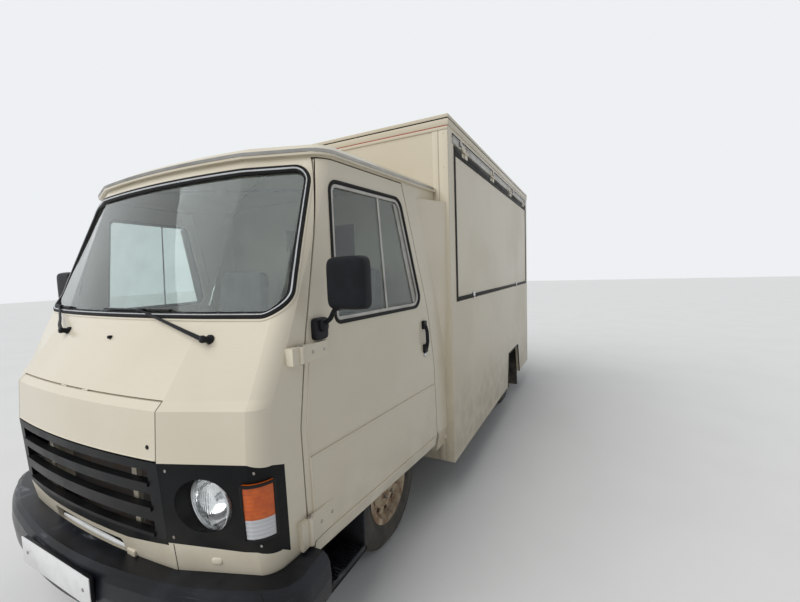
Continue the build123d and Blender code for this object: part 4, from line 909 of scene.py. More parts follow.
# Columns: how far out from the roof's skin, how far above the gutter's top.
GUTTER_PROFILE = [(0.0003, -0.0130), (0.0022, -0.0120), (0.0026, -0.0010), (0.0005, 0.0015),
                  (-0.0045, 0.0015), (-0.0048, -0.0060)]
roof_centre = Vector((0, FRONT_AXLE - 0.1, GUTTER_HEIGHT))


def hoop(skin, centre, height, turns):
    """Points where rays that point inwards meet the skin at a height, with their outward directions."""
    met = []
    for turn in turns:
        away = Vector((math.sin(turn), -math.cos(turn), 0))
        hit = skin.ray_cast(Vector((centre.x, centre.y, height)) + away * 3, -away)[0]
        if hit is not None:
            met.append((hit, away))
    return met


around_cab = [math.radians(angle) for angle in range(-148, 149, 2)]
around_roof = hoop(skin_of("cab_roof"), roof_centre, GUTTER_HEIGHT, around_cab)
gutter_path = [(point, away) for point, away in around_roof if point.y < GUTTER_STOP]
bm = bmesh.new()
grid(bm, [[Vector((point.x, point.y, GUTTER_TOP + lift)) + away * stand for point, away in gutter_path]
          for stand, lift in GUTTER_PROFILE])
make_piece("gutter_strip", bm, "dull_aluminium")

# %% [markdown]
# Lamps, nuts, caps and dials are round, so they are turned as on a lathe: a profile is spun about an
# axis. Blender's own screw modifier could do it, but the axes here lie at many angles, and a small
# function takes any of them.

# %% Turned pieces
POINTED = 0.0005  # an end with a smaller radius than this needs no cap


def turned(bm, profile, centre, axis, steps=32, closed=False):
    """Spins (distance along the axis, radius) pairs about an axis through centre."""
    centre, axis = Vector(centre), Vector(axis).normalized()
    side = axis.orthogonal().normalized()
    other = axis.cross(side)
    rows = [[centre + axis * along + radius * (math.cos(turn) * side + math.sin(turn) * other)
             for turn in full_turn(steps)] for along, radius in profile]
    made = grid(bm, rows, close_rows=closed, close_columns=True)
    if not closed:
        for end, (_, radius) in ((made[0], profile[0]), (made[-1], profile[-1])):
            if radius > POINTED:
                bm.faces.new(end)


# %% [markdown]
# A headlamp is a silvered bowl, a domed glass with upright flutes, a bright ring, and a bulb in its
# cap. Flutes painted on flat glass would look flat, since real ones bend what is seen through them. So
# the glass has a real thickness: its outside is a smooth dome, and its inside has a flute every
# centimetre. Together the pieces replace the plain CAD barrel.

# %% Headlamps
LAMP_X, _, LAMP_HEIGHT = centre_of("headlamps")
lamp_low, lamp_high = box_of("headlamps")
LAMP_FACE, LAMP_RADIUS = lamp_low[1], round(lamp_high[0] - LAMP_X, 4)
LENS_MARGIN, LENS_SET, LENS_THICK, LENS_DOME = 0.006, 0.006, 0.0045, 0.016
FLUTE_PITCH, FLUTE_DEPTH, FLUTE_FADE = 0.0105, 0.0022, 0.02
LENS_RINGS, LENS_STEPS = 18, 72
# Columns of each profile: distance behind the lamp's face, radius.
BOWL_PROFILE = [(0.020, 0.088), (0.035, 0.084), (0.055, 0.072), (0.072, 0.050), (0.082, 0.022), (0.084, 0.0),
                (0.086, 0.0), (0.084, 0.024), (0.074, 0.053), (0.057, 0.075), (0.036, 0.087), (0.019, 0.091)]
RING_PROFILE = [(0.020, 0.0885), (0.002, 0.0885), (-0.001, 0.0905), (0.000, 0.0935), (0.004, 0.0948),
                (0.022, 0.0948)]
BULB_PROFILE = [(0.030, 0.0), (0.032, 0.010), (0.040, 0.014), (0.062, 0.012), (0.078, 0.009)]


def lamp_lens(bm, x):
    """Domed glass, smooth outside and fluted inside."""
    outer, inner = [], []
    for i in range(LENS_RINGS + 1):
        radius = (LAMP_RADIUS - LENS_MARGIN) * i / LENS_RINGS
        front = LAMP_FACE + LENS_SET - LENS_DOME * (1 - (radius / LAMP_RADIUS) ** 2)
        fade = min(1, (LAMP_RADIUS - radius) / FLUTE_FADE)
        outer_row, inner_row = [], []
        for turn in full_turn(LENS_STEPS):
            across, height = radius * math.cos(turn), LAMP_HEIGHT + radius * math.sin(turn)
            flute = FLUTE_DEPTH * abs(math.sin(math.pi * across / FLUTE_PITCH)) * fade
            outer_row.append(Vector((x + across, front, height)))
            inner_row.append(Vector((x + across, front + LENS_THICK + flute, height)))
        outer.append(outer_row)
        inner.append(inner_row)
    grid(bm, outer + inner[::-1], close_columns=True)


for side_name, side in SIDES:
    centre = (side * LAMP_X, LAMP_FACE, LAMP_HEIGHT)
    bm = bmesh.new()
    turned(bm, BOWL_PROFILE, centre, (0, 1, 0), steps=48, closed=True)
    make_piece(f"headlamp_bowl_{side_name}", bm, "lamp_mirror", replaces=["headlamps"])
    bm = bmesh.new()
    lamp_lens(bm, side * LAMP_X)
    make_piece(f"headlamp_glass_{side_name}", bm, "lamp_clear", replaces=["headlamps"], sharp=60)
    bm = bmesh.new()
    turned(bm, RING_PROFILE, centre, (0, 1, 0), steps=64, closed=True)
    make_piece(f"headlamp_ring_{side_name}", bm, "bright_trim", replaces=["headlamps"])
    bm = bmesh.new()
    turned(bm, BULB_PROFILE, centre, (0, 1, 0), steps=20)
    make_piece(f"headlamp_bulb_{side_name}", bm, "lens_white")

# %% [markdown]
# The indicators keep the CAD's form. A black rubber rim frames each, and follows the lens round the
# corner. Its lower and upper runs are felt for with the same inward rays as the gutter, and joined
# into one closed tube.

# %% Indicator rims
RIM_FOOT, RIM_HEAD, RIM_RADIUS = 0.656, 0.844, 0.0055
RIM_INNER_X, RIM_REAR_Y = 0.780, FRONT_AXLE - 0.880
indicator_skin = skin_of("indicators")
corner_centre = Vector((0.70, FRONT_AXLE - 0.80, 0))
corner_turns = [math.radians(angle / 2) for angle in range(-20, 240)]


def rim_run(height):
    """The lens's outline at a height, round the corner of the nose."""
    met = hoop(indicator_skin, corner_centre, height, corner_turns)
    return [point for point, _ in met if point.x > RIM_INNER_X and point.y < RIM_REAR_Y]


for side_name, side in SIDES:
    bm = bmesh.new()
    tube(bm, rim_run(RIM_FOOT) + rim_run(RIM_HEAD)[::-1], RIM_RADIUS, closed=True)
    make_piece(f"indicator_rim_{side_name}", bm, "seal_rubber", side=side)

# %% [markdown]
# Each tyre is turned from a smooth sidewall profile. A bump map could draw the tread, but then the
# tyre's outline would stay a plain circle. So the tread is cut into blocks: two grooves run round it,
# and every few centimetres a cross groove lowers the shoulder. Two fine beads run round each wall.

# %% Tyres
# Columns: distance from the tyre's middle plane, radius.
TYRE_WALL = [(0.060, 0.1770), (0.0625, 0.1900), (0.0660, 0.1985), (0.0740, 0.2120), (0.0805, 0.2300),
             (0.0830, 0.2500), (0.0812, 0.2700), (0.0765, 0.2860), (0.0705, 0.2980), (0.0650, 0.3060),
             (0.0590, 0.3140), (0.0540, 0.3195), (0.0505, 0.3235)]
TYRE_TREAD = [(0.0490, 0.3245), (0.0350, 0.3252), (0.0220, 0.3256), (0.0215, 0.3180), (0.0165, 0.3180),
              (0.0160, 0.3258), (0.0, 0.3260)]
WALL_BEADS = [(0.0772, 0.2200), (0.0780, 0.2830)]
BEAD_RADIUS, BEAD_STEPS = 0.0016, 96
TREAD_BLOCKS = 52
BLOCK_COLUMNS = [(0.0, False), (0.80, False), (0.83, True), (0.97, True)]  # share of a block, sunk
SHOULDER_FROM, SHOULDER_RADIUS = 0.020, 0.310
GROOVE_DEPTH = 0.0070


def tyre_mesh(bm, x, y):
    """One tyre about its axle."""
    half = TYRE_WALL + TYRE_TREAD
    profile = half + [(-across, radius) for across, radius in reversed(half[:-1])]
    columns = [(math.tau * (block + share) / TREAD_BLOCKS, sunk) for block in range(TREAD_BLOCKS)
               for share, sunk in BLOCK_COLUMNS]
    rows = []
    for across, radius in profile:
        on_shoulder = abs(across) > SHOULDER_FROM and radius > SHOULDER_RADIUS
        row = []
        for turn, sunk in columns:
            reach = radius - (GROOVE_DEPTH if sunk and on_shoulder else 0)
            row.append((x + across, y + reach * math.cos(turn), AXLE_HEIGHT + reach * math.sin(turn)))
        rows.append(row)
    grid(bm, rows, close_rows=True, close_columns=True)
    for across, radius in WALL_BEADS:
        for end in (-1, 1):
            ring = [(x + end * across, y + radius * math.cos(turn), AXLE_HEIGHT + radius * math.sin(turn))
                    for turn in full_turn(BEAD_STEPS)]
            tube(bm, ring, BEAD_RADIUS, sides=6, closed=True)


WHEELS = [("front", FRONT_WHEEL_X, FRONT_AXLE), ("rear", REAR_WHEEL_X, REAR_AXLE)]
for where, wheel_x, wheel_y in WHEELS:
    for side_name, side in SIDES:
        bm = bmesh.new()
        tyre_mesh(bm, side * wheel_x, wheel_y)
        make_piece(f"treaded_tyre_{where}_{side_name}", bm, "tyre_black", f"{where}_{side_name}_wheel",
                   [f"tyre_{where}_{side_name}"], sharp=30)

# %% [markdown]
# The steel wheels keep their CAD shape. They get five nuts with their studs on the bolt face, a
# grease cap over the hub and a rubber valve. All are turned on the wheel's axis and ride on the
# wheel, so that they go round with it. A nut is turned in six steps, which makes it a hexagon.

# %% Wheel nuts, caps and valves
BOLT_FACE, NUT_CIRCLE, NUT_COUNT, NUT_TURN = 0.056, 0.056, 5, 0.25
# Columns of each profile: distance out from the bolt face, radius.
NUT_PROFILE = [(-0.002, 0.0125), (0.003, 0.0125), (0.004, 0.0105), (0.014, 0.0105), (0.0165, 0.0085)]
STUD_PROFILE = [(0.010, 0.006), (0.0215, 0.006), (0.0225, 0.0045)]
CAP_PROFILE = [(-0.004, 0.033), (0.001, 0.033), (0.003, 0.031), (0.003, 0.027), (0.014, 0.026),
               (0.019, 0.021), (0.021, 0.010), (0.0215, 0.0)]
# Columns: out from the valve's foot, along the truck, up.
VALVE_PATH = [(0, 0, 0), (0.012, 0.001, 0), (0.030, -0.003, 0)]
VALVE_FOOT = (-0.012, 0.155, 0.010)


def valve_radius(share):
    """A valve tapers from its foot to its cap."""
    return 0.0055 - 0.0015 * share


for where, wheel_x, wheel_y in WHEELS:
    for side_name, side in SIDES:
        body = f"{where}_{side_name}_wheel"
        face = Vector((side * (wheel_x + BOLT_FACE), wheel_y, AXLE_HEIGHT))
        out = (side, 0, 0)
        bm = bmesh.new()
        for k in range(NUT_COUNT):
            turn = math.tau * (k + NUT_TURN) / NUT_COUNT
            at = face + Vector((0, NUT_CIRCLE * math.cos(turn), NUT_CIRCLE * math.sin(turn)))
            turned(bm, NUT_PROFILE, at, out, steps=6)
            turned(bm, STUD_PROFILE, at, out, steps=10)
        make_piece(f"wheel_nuts_{where}_{side_name}", bm, "screw_steel", body)
        bm = bmesh.new()
        turned(bm, CAP_PROFILE, face, out, steps=28)
        make_piece(f"hub_cap_{where}_{side_name}", bm, "wheel_enamel", body)
        bm = bmesh.new()
        foot = face + Vector((side * VALVE_FOOT[0], *VALVE_FOOT[1:]))
        tube(bm, [foot + Vector((side * x, y, z)) for x, y, z in VALVE_PATH], valve_radius)
        make_piece(f"tyre_valve_{where}_{side_name}", bm, "seal_rubber", body)

# %% [markdown]
# Mirrors, handle pads and cushions are moulded or stuffed: nearly boxes, but their faces swell and
# their corners are soft. A cube under a subdivision modifier gives such a form too, but its size then
# depends on its cage. A superellipsoid has its size written down, and one number, from box to
# ellipsoid, says how square it is.

# %% Pillows
def pillow(bm, centre, half, square, steps, shape=None, turn=None):
    """A crowned, closed form. square near 0 is a box and 1 an ellipsoid; shape moves points of it."""
    def power(value):
        return math.copysign(abs(value) ** square, value)
    around, up = steps
    rows = []
    for i in range(up + 1):
        tilt = math.pi * (i / up - 0.5)
        out, height = power(math.cos(tilt)), half[2] * power(math.sin(tilt))
        row = []
        for j in range(around):
            bearing = math.tau * (j + 0.5) / around
            point = Vector((half[0] * out * power(math.cos(bearing)),
                            half[1] * out * power(math.sin(bearing)), height))
            if shape:
                point = shape(point)
            if turn:
                point = turn @ point
            row.append(Vector(centre) + point)
        rows.append(row)
    grid(bm, rows, close_columns=True)


# %% [markdown]
# Each door mirror is a black shell on a short bent arm, with the glass on its rear face. A base pad
# on the door carries the arm. The CAD's mirror is a squared block. It holds the place, and these
# rounded pieces replace it.

# %% Mirrors
MIRROR_AT = Vector((1.012, FRONT_AXLE - 0.640, 1.484))
MIRROR_HALF, MIRROR_TAPER = (0.087, 0.028, 0.097), (0.10, 0.08)
MIRROR_GLASS_HALF, GLASS_SUNK = (0.076, 0.0025, 0.086), 0.001
ARM_FOOT = (FRONT_AXLE - 0.630, 1.312)
ARM_RADIUS, ARM_BEND = 0.0095, Vector((0.006, 0, -0.002))
ELBOW, NECK = Vector((0.030, 0.004, 0.020)), Vector((-0.052, 0, -0.086))
# Columns: place from the arm's foot, half sizes, squareness, steps.
ARM_PADS = [
    ((0.006, 0, 0), (0.014, 0.040, 0.042), 0.35, (32, 16)),
    ((0.020, 0.004, 0.012), (0.018, 0.022, 0.024), 0.7, (24, 12)),
]
NECK_BALL = ((0.017, 0.017, 0.015), 0.6, (20, 10))


def mirror_shell(point):
    """Draws the shell in towards its front face, as moulded mirrors are."""
    share = max(0.0, -point.y / MIRROR_HALF[1])
    across, up = MIRROR_TAPER
    return Vector((point.x * (1 - across * share), point.y, point.z * (1 - up * share)))


def mirror_arm(bm):
    """Base pad, bent arm and ball under the shell."""
    foot = from_left(cab_left, *ARM_FOOT)
    for shift, *form in ARM_PADS:
        pillow(bm, foot + Vector(shift), *form)
    elbow, neck = foot + ELBOW, MIRROR_AT + NECK
    tube(bm, [elbow, elbow.lerp(neck, 0.35) + ARM_BEND, elbow.lerp(neck, 0.7), neck], ARM_RADIUS, sides=12)
    pillow(bm, neck, *NECK_BALL)


def add_mirror(side_name, side):
    """The shell on its arm, and the glass."""
    body, cad_fitting = f"cab_door_{side_name}", [f"door_fittings_{side_name}"]
    bm = bmesh.new()
    pillow(bm, MIRROR_AT, MIRROR_HALF, square=0.28, steps=(56, 28), shape=mirror_shell)
    mirror_arm(bm)
    make_piece(f"mirror_{side_name}", bm, "fitting_black", body, cad_fitting, side=side)
    # The glass's pale blue-grey is a painted reflection of the sky.
    bm = bmesh.new()
    rear_face = MIRROR_AT + Vector((0, MIRROR_HALF[1] - GLASS_SUNK, 0))
    pillow(bm, rear_face, MIRROR_GLASS_HALF, square=0.22, steps=(48, 16))
    make_piece(f"mirror_glass_{side_name}", bm, "mirror_sky_reflection", body, cad_fitting, side=side)


print("mirror's middle stands at", [round(c, 3) for c in MIRROR_AT])

# %% [markdown]
# The grip handle bridges two pads, with room for fingers behind it, and the lock sits below. The bar
# is a tube through six points: it leaves the lower pad, runs up clear of the door and enters the upper
# one. The lock barrel is turned, with a sunk face for the key. Then each door gets its mirror and its
# handle.

# %% Door handles and locks
HANDLE_Y, HANDLE_HEIGHT, HANDLE_HALF = FRONT_AXLE + 0.205, 1.142, 0.090
HANDLE_PAD_HALF, PAD_INSET, PAD_STAND = (0.012, 0.021, 0.024), 0.022, 0.004
BAR_RADIUS, BAR_REACH = 0.0105, Vector((0.022, 0, 0))
BAR_ROOT, BAR_RISE = Vector((0.006, 0, -0.006)), Vector((0, 0, 0.010))
LOCK_DROP = 0.013
LOCK_PROFILE = [(-0.002, 0.0150), (0.006, 0.0145), (0.009, 0.0120), (0.0095, 0.0085), (0.007, 0.0075),
                (0.007, 0.0)]


def handle_bar(bm, low, high):
    """The grip between the feet of the two pads."""
    flipped_root = Vector((BAR_ROOT.x, 0, -BAR_ROOT.z))
    tube(bm, [low + BAR_ROOT, low + BAR_REACH * 0.7 + BAR_RISE, low.lerp(high, 0.3) + BAR_REACH,
              low.lerp(high, 0.7) + BAR_REACH, high + BAR_REACH * 0.7 - BAR_RISE, high + flipped_root],
         BAR_RADIUS, sides=12, flat=0.8)


def add_handle(side_name, side):
    """The grip on its pads, and the lock below it."""
    body, cad_fitting = f"cab_door_{side_name}", [f"door_fittings_{side_name}"]
    bm = bmesh.new()
    ends = [from_left(cab_left, HANDLE_Y, HANDLE_HEIGHT + end * (HANDLE_HALF - PAD_INSET)) for end in (-1, 1)]
    for at in ends:
        pillow(bm, at + Vector((PAD_STAND, 0, 0)), HANDLE_PAD_HALF, square=0.35, steps=(32, 14))
    handle_bar(bm, *ends)
    make_piece(f"door_handle_{side_name}", bm, "fitting_black", body, cad_fitting, side=side)
    bm = bmesh.new()
    lock = from_left(cab_left, HANDLE_Y, HANDLE_HEIGHT - HANDLE_HALF - LOCK_DROP)
    turned(bm, LOCK_PROFILE, lock, (1, 0, 0), steps=24)
    make_piece(f"door_lock_{side_name}", bm, "bright_trim", body, side=side)


for side_name, side in SIDES:
    add_mirror(side_name, side)
    add_handle(side_name, side)

# %% [markdown]
# Strips, plates, brackets and steps are blocks whose edges are a little soft, since no real edge is
# perfectly sharp and only a soft one catches the light. A bevel modifier could soften them, but
# several blocks often make one piece. So a block is bevelled in a bmesh of its own and then merged.

# %% Slabs
def merge(bm, other):
    """Adds one bmesh to another."""
    holder = bpy.data.meshes.new("holder")
    other.to_mesh(holder)
    other.free()
    bm.from_mesh(holder)
    bpy.data.meshes.remove(holder)


def slab(bm, low, high, soft=0.003, segments=2):
    """A block between two corners with softened edges."""
    block = bmesh.new()
    bmesh.ops.create_cube(block, size=1)
    low, high = Vector(low), Vector(high)
    for vert in block.verts:
        vert.co = Vector([low[k] if vert.co[k] < 0 else high[k] for k in range(3)])
    bmesh.ops.bevel(block, geom=block.edges[:], offset=soft, segments=segments, affect="EDGES", profile=0.5)
    merge(bm, block)


# %% [markdown]
# Each wiper is a capped spindle, a tapered arm, and a blade whose rubber follows the glass. A
# straight blade would cut into the curved screen, so its points are felt for on the glass, and the
# arm reaches from the spindle to a clip on the blade.

# %% Wipers
# Columns: name, spindle's x, clip's x, and the blade's two ends.
WIPERS = [("near", 0.580, 0.178, (-0.102, 0.339)), ("far", -0.344, -0.643, (-0.800, -0.470))]
SPINDLE_HEIGHT, BLADE_HEIGHT, BLADE_STEPS = 1.299, 1.400, 16
SPINDLE_PROFILE = [(-0.004, 0.019), (0.004, 0.018), (0.007, 0.012), (0.024, 0.011), (0.026, 0.014),
                   (0.034, 0.013), (0.037, 0.008), (0.037, 0.0)]
BLADE_STAND, BLADE_RUBBER, BLADE_SPINE, SPINE_FORWARD = 0.005, 0.0032, 0.0045, Vector((0, -0.007, 0))
CLIP_STAND, CLIP_LOW, CLIP_HIGH = 0.022, Vector((-0.022, -0.003, -0.006)), Vector((0.022, 0.010, 0.006))
ARM_START, ARM_KNEE = Vector((0, -0.028, 0.006)), Vector((0, -0.004, 0.002))
glass_and_panel = skin_of("front_panel", "windscreen")


def wiper_arm_radius(share):
    """The arm tapers towards the blade."""
    return 0.0085 - 0.004 * share


for name, spindle_x, clip_x, (blade_from, blade_to) in WIPERS:
    bm = bmesh.new()
    spindle = from_front(glass_and_panel, spindle_x, SPINDLE_HEIGHT)
    turned(bm, SPINDLE_PROFILE, spindle, (0, -1, 0.25), steps=24)
    across = [blade_from + (blade_to - blade_from) * k / BLADE_STEPS for k in range(BLADE_STEPS + 1)]
    blade = [from_front(glass_and_panel, x, BLADE_HEIGHT, BLADE_STAND) for x in across]
    tube(bm, blade, BLADE_RUBBER, sides=6)
    tube(bm, [point + SPINE_FORWARD for point in blade], BLADE_SPINE, flat=0.6)
    clip = from_front(glass_and_panel, clip_x, BLADE_HEIGHT, CLIP_STAND)
    start = spindle + ARM_START
    knee = start.lerp(clip, 0.22) + ARM_KNEE
    arm = [start, knee, start.lerp(clip, 0.45), start.lerp(clip, 0.75), clip]
    tube(bm, arm, wiper_arm_radius, sides=10, flat=0.7)
    slab(bm, clip + CLIP_LOW, clip + CLIP_HIGH, soft=0.002)
    make_piece(f"wiper_{name}", bm, "fitting_black", replaces=["wipers"])

# %% [markdown]
# Small things on the nose: the washer nozzle under the screen, the bonnet's lock and the rolled lower
# edge of the bonnet. They are only a few pixels large, but a nose without them looks like a toy's.
# Each is set on the skin with a ray, so the bonnet's crown carries them.

# %% Nozzle, bonnet lock and bonnet lip
NOZZLE_AT, NOZZLE_HALF, NOZZLE_FORWARD = (0.049, 1.293), (0.009, 0.009, 0.007), Vector((0, -0.004, 0))
BONNET_LOCK_AT = (0.474, 0.963)
BONNET_LOCK_PROFILE = [(-0.003, 0.0075), (0.0015, 0.0075), (0.0025, 0.006), (0.001, 0.005), (0.001, 0.0)]
LIP_HALF, LIP_HEIGHT, LIP_RADIUS, LIP_STEPS = 0.505, 0.9225, 0.0030, 40
bm = bmesh.new()
pillow(bm, from_front(cab_front, *NOZZLE_AT) + NOZZLE_FORWARD, NOZZLE_HALF, square=0.6, steps=(20, 10))
make_piece("washer_nozzle", bm, "fitting_black")
bm = bmesh.new()
turned(bm, BONNET_LOCK_PROFILE, from_front(cab_front, *BONNET_LOCK_AT), (0, -1, 0), steps=20)
make_piece("bonnet_lock", bm, "fitting_black", "bonnet")
bm = bmesh.new()
bonnet_skin = skin_of("bonnet")
lip = [from_front(bonnet_skin, LIP_HALF * (2 * k / LIP_STEPS - 1), LIP_HEIGHT, -0.001)
       for k in range(LIP_STEPS + 1)]
tube(bm, lip, LIP_RADIUS)
make_piece("bonnet_lip", bm, "cream_gloss", "bonnet")

# %% [markdown]
# Each lamp panel is held by screws with pan heads. A head is a low dome, turned in a few steps. It
# is a helper, because the door hinges and the number plate are held by the same kind of screw.

# %% Lamp panel screws
LAMP_SCREWS = [(0.8211, 0.883), (0.8233, 0.628), (0.540, 0.888), (0.540, 0.650)]


def screw_head(bm, at, axis, radius):
    """A pan head."""
    turned(bm, [(-0.001, radius), (0.0008, radius), (0.0022, radius * 0.72), (0.0026, radius * 0.3),
                (0.0026, 0.0)], at, axis, steps=16)


bm = bmesh.new()
for _, side in SIDES:
    for x, z in LAMP_SCREWS:
        at = from_front(cab_front, x, z)
        screw_head(bm, Vector((side * at.x, at.y, at.z)), (0, -1, 0), radius=0.006)
make_piece("lamp_panel_screws", bm, "screw_steel")

# %% [markdown]
# Below the grille a pale bar lies in the panel's air slot. Behind it are two thin black sheets, one upright
# and one that closes the slot's top.
# They are painted shade: they make the slot dark, and they stop one looking through the slot into the cab.
# The bar follows the panel's curve.

# %% Air slot
SLOT_HALF, SLOT_FOOT = 0.248, 0.506
BAR_SHIFT, SLOT_BAR_RADIUS, SLOT_STEPS = Vector((0, 0.016, 0.018)), 0.0105, 12
SHADE_SHEET_HALF = 0.300
# Columns: front and rear from the front axle, foot, head.
SHADE_SHEETS = [(-1.0432, -1.0425, 0.5065, 0.5465), (-1.0430, -1.0170, 0.5483, 0.5490)]
bm = bmesh.new()
bar = [from_front(screen_panel, SLOT_HALF * (k / SLOT_STEPS - 1), SLOT_FOOT - 0.006) + BAR_SHIFT
       for k in range(2 * SLOT_STEPS + 1)]
tube(bm, bar, SLOT_BAR_RADIUS, sides=12, flat=0.8)
make_piece("slot_bar", bm, "plate_white")
bm = bmesh.new()
# The black sheets are painted shade inside the slot.
for front, rear, foot, head in SHADE_SHEETS:
    slab(bm, (-SHADE_SHEET_HALF, FRONT_AXLE + front, foot), (SHADE_SHEET_HALF, FRONT_AXLE + rear, head), soft=0.0002)
make_piece("slot_shade_sheets", bm, "grille_black")

# %% [markdown]
# A small lug closes the slot's left end and an oval pad stands on the skirt. Two fine seams run down
# the skirt from the grille's corners. A seam this fine could be a dark line in the paint, but a thin
# tube follows the curve of the panel without any layout of the paint on it.

# %% Skirt lugs and seams
LUG_AT, LUG_LOW, LUG_HIGH = (0.294, 0.526), Vector((-0.024, -0.007, -0.012)), Vector((0.024, 0.006, 0.013))
PAD_AT, PAD_HALF, PAD_TURN = (0.669, 0.564), (0.019, 0.005, 0.013), Matrix.Rotation(math.radians(24), 3, "Z")
SEAM_FOOT, SEAM_RISE, SEAM_STEPS = (0.5235, 0.514), (0.011, 0.110), 10
bm = bmesh.new()
lug = from_front(screen_panel, *LUG_AT)
slab(bm, lug + LUG_LOW, lug + LUG_HIGH, soft=0.004, segments=3)
pillow(bm, from_front(screen_panel, *PAD_AT), PAD_HALF, square=0.7, steps=(28, 12), turn=PAD_TURN)
make_piece("skirt_lugs", bm, "cream_gloss")
bm = bmesh.new()
for _, side in SIDES:
    seam = [from_front(screen_panel, side * (SEAM_FOOT[0] + SEAM_RISE[0] * k / SEAM_STEPS),
                       SEAM_FOOT[1] + SEAM_RISE[1] * k / SEAM_STEPS, 0.0002) for k in range(SEAM_STEPS + 1)]
    tube(bm, seam, 0.0012, sides=6)
make_piece("skirt_seams", bm, "seal_rubber")

# %% [markdown]
# Each cab door hinge has two pan head screws in its leaf and a pin with a domed head at both ends.
# The hinges themselves are in the CAD, because the door turns on them. Only what is too small for the
# solids is added, and it swings with the door.

# %% Hinge screws and pins
HINGES_AT = ((1.235, 0.030), (0.580, 0.052))  # height, half length of the pin
HINGE_FACE, HINGE_PIN_Y = 0.880, FRONT_AXLE - 0.753
SCREW_REACHES, HINGE_SCREW_RADIUS = (0.060, 0.125), 0.007
PIN_PROFILE = [(-0.001, 0.0075), (0.002, 0.0070), (0.0045, 0.0035), (0.005, 0.0)]
for side_name, side in SIDES:
    bm = bmesh.new()
    for height, half in HINGES_AT:
        for reach in SCREW_REACHES:
            at = Vector((side * HINGE_FACE, HINGE_PIN_Y + reach, height))
            screw_head(bm, at, (side, 0, 0), radius=HINGE_SCREW_RADIUS)
        for end in (-1, 1):
            at = (side * HINGE_FACE, HINGE_PIN_Y, height + end * half)
            turned(bm, PIN_PROFILE, at, (0, 0, end), steps=18)
    make_piece(f"hinge_screws_{side_name}", bm, "screw_steel", f"cab_door_{side_name}")

# %% [markdown]
# The bumper is one moulding with separate end caps: a dark seam shows where they join it. The seam
# runs up the bumper's curved face in one upright plane, so an inward ray from that plane at each
# height finds it.

# %% Bumper seams
bumper_skin = skin_of("front_bumper")
bumper_centre = Vector((0, FRONT_AXLE - 0.55, 0))
CAP_SEAM_TURN, CAP_SEAM_Z, CAP_SEAM_STEPS = math.radians(63.5), (0.334, 0.512), 24
CAP_SEAM_RADIUS, CAP_SEAM_STAND = 0.0018, 0.0003
bm = bmesh.new()
for _, side in SIDES:
    seam = []
    for k in range(CAP_SEAM_STEPS + 1):
        height = CAP_SEAM_Z[0] + (CAP_SEAM_Z[1] - CAP_SEAM_Z[0]) * k / CAP_SEAM_STEPS
        met = hoop(bumper_skin, bumper_centre, height, [side * CAP_SEAM_TURN])
        seam += [point + away * CAP_SEAM_STAND for point, away in met]
    tube(bm, seam, CAP_SEAM_RADIUS, sides=6)
make_piece("bumper_seams", bm, "seal_rubber")

# %% [markdown]
# The blank white number plate stands on the bumper's face, held by two screws. It is flat and the
# bumper is not, so it is set against the bumper's foremost point, and a black backing fills the space
# between them.

# %% Number plate
PLATE_HALF, PLATE_FOOT, PLATE_HEAD = 0.260, 0.392, 0.503
PLATE_BACK, PLATE_FRONT, BACKING_DEPTH, BACKING_INSET = 0.0025, 0.006, 0.012, 0.004
PLATE_SCREWS = (-0.215, 0.215)
plate_y = min(from_front(bumper_skin, 0, z).y for z in (0.43, 0.45))
bm = bmesh.new()
slab(bm, (-PLATE_HALF, plate_y - PLATE_FRONT, PLATE_FOOT),
     (PLATE_HALF, plate_y - PLATE_BACK, PLATE_HEAD), soft=0.0012)
make_piece("number_plate", bm, "plate_white")
bm = bmesh.new()
slab(bm, (BACKING_INSET - PLATE_HALF, plate_y - PLATE_BACK, PLATE_FOOT + BACKING_INSET),
     (PLATE_HALF - BACKING_INSET, plate_y + BACKING_DEPTH, PLATE_HEAD - BACKING_INSET), soft=0.002)
make_piece("plate_backing", bm, "fitting_black")
bm = bmesh.new()
for x in PLATE_SCREWS:
    screw_head(bm, (x, plate_y - PLATE_FRONT, (PLATE_FOOT + PLATE_HEAD) / 2), (0, -1, 0), radius=0.007)
make_piece("plate_screws", bm, "screw_steel")

# %% [markdown]
# The entry steps are black mouldings. The ribbed tread lies low, in a well between a low outer lip, an
# inner wall and two cheeks, of which the rear one is higher and shields the wheel. The well could be
# cut out of a block, but walls set on a base need no cutting and have soft edges of their own. The
# steps replace the plain CAD blocks and stay within their outline, apart from that cheek's top.

# %% Entry steps
(BRACKET_INNER, STEP_FRONT, STEP_FOOT), (STEP_OUTER, STEP_REAR, BRACKET_TOP) = box_of("steps")
STEP_INNER, TREAD_TOP, WALL = 0.700, 0.270, 0.016
LIP_TOP, INNER_TOP, FRONT_CHEEK_TOP, REAR_CHEEK_TOP = 0.284, 0.400, 0.310, 0.440
# Columns: the wall's inner front corner, its outer rear corner, its top.
STEP_WALLS = [
    ((STEP_OUTER - WALL, STEP_FRONT), (STEP_OUTER, STEP_REAR), LIP_TOP),
    ((STEP_INNER, STEP_FRONT), (STEP_INNER + WALL, STEP_REAR), INNER_TOP),
    ((STEP_INNER, STEP_FRONT), (STEP_OUTER, STEP_FRONT + WALL), FRONT_CHEEK_TOP),
    ((STEP_INNER, STEP_REAR - WALL), (STEP_OUTER, STEP_REAR), REAR_CHEEK_TOP),
]
RIBS, RIB_MARGIN, RIB_END, RIB_HALF, RIB_HEIGHT = 17, 0.030, 0.022, 0.004, 0.005
BRACKET_Y, BRACKET_Z, BRACKET_THICK = (FRONT_AXLE - 0.640, FRONT_AXLE - 0.600), (0.370, 0.396), 0.0097


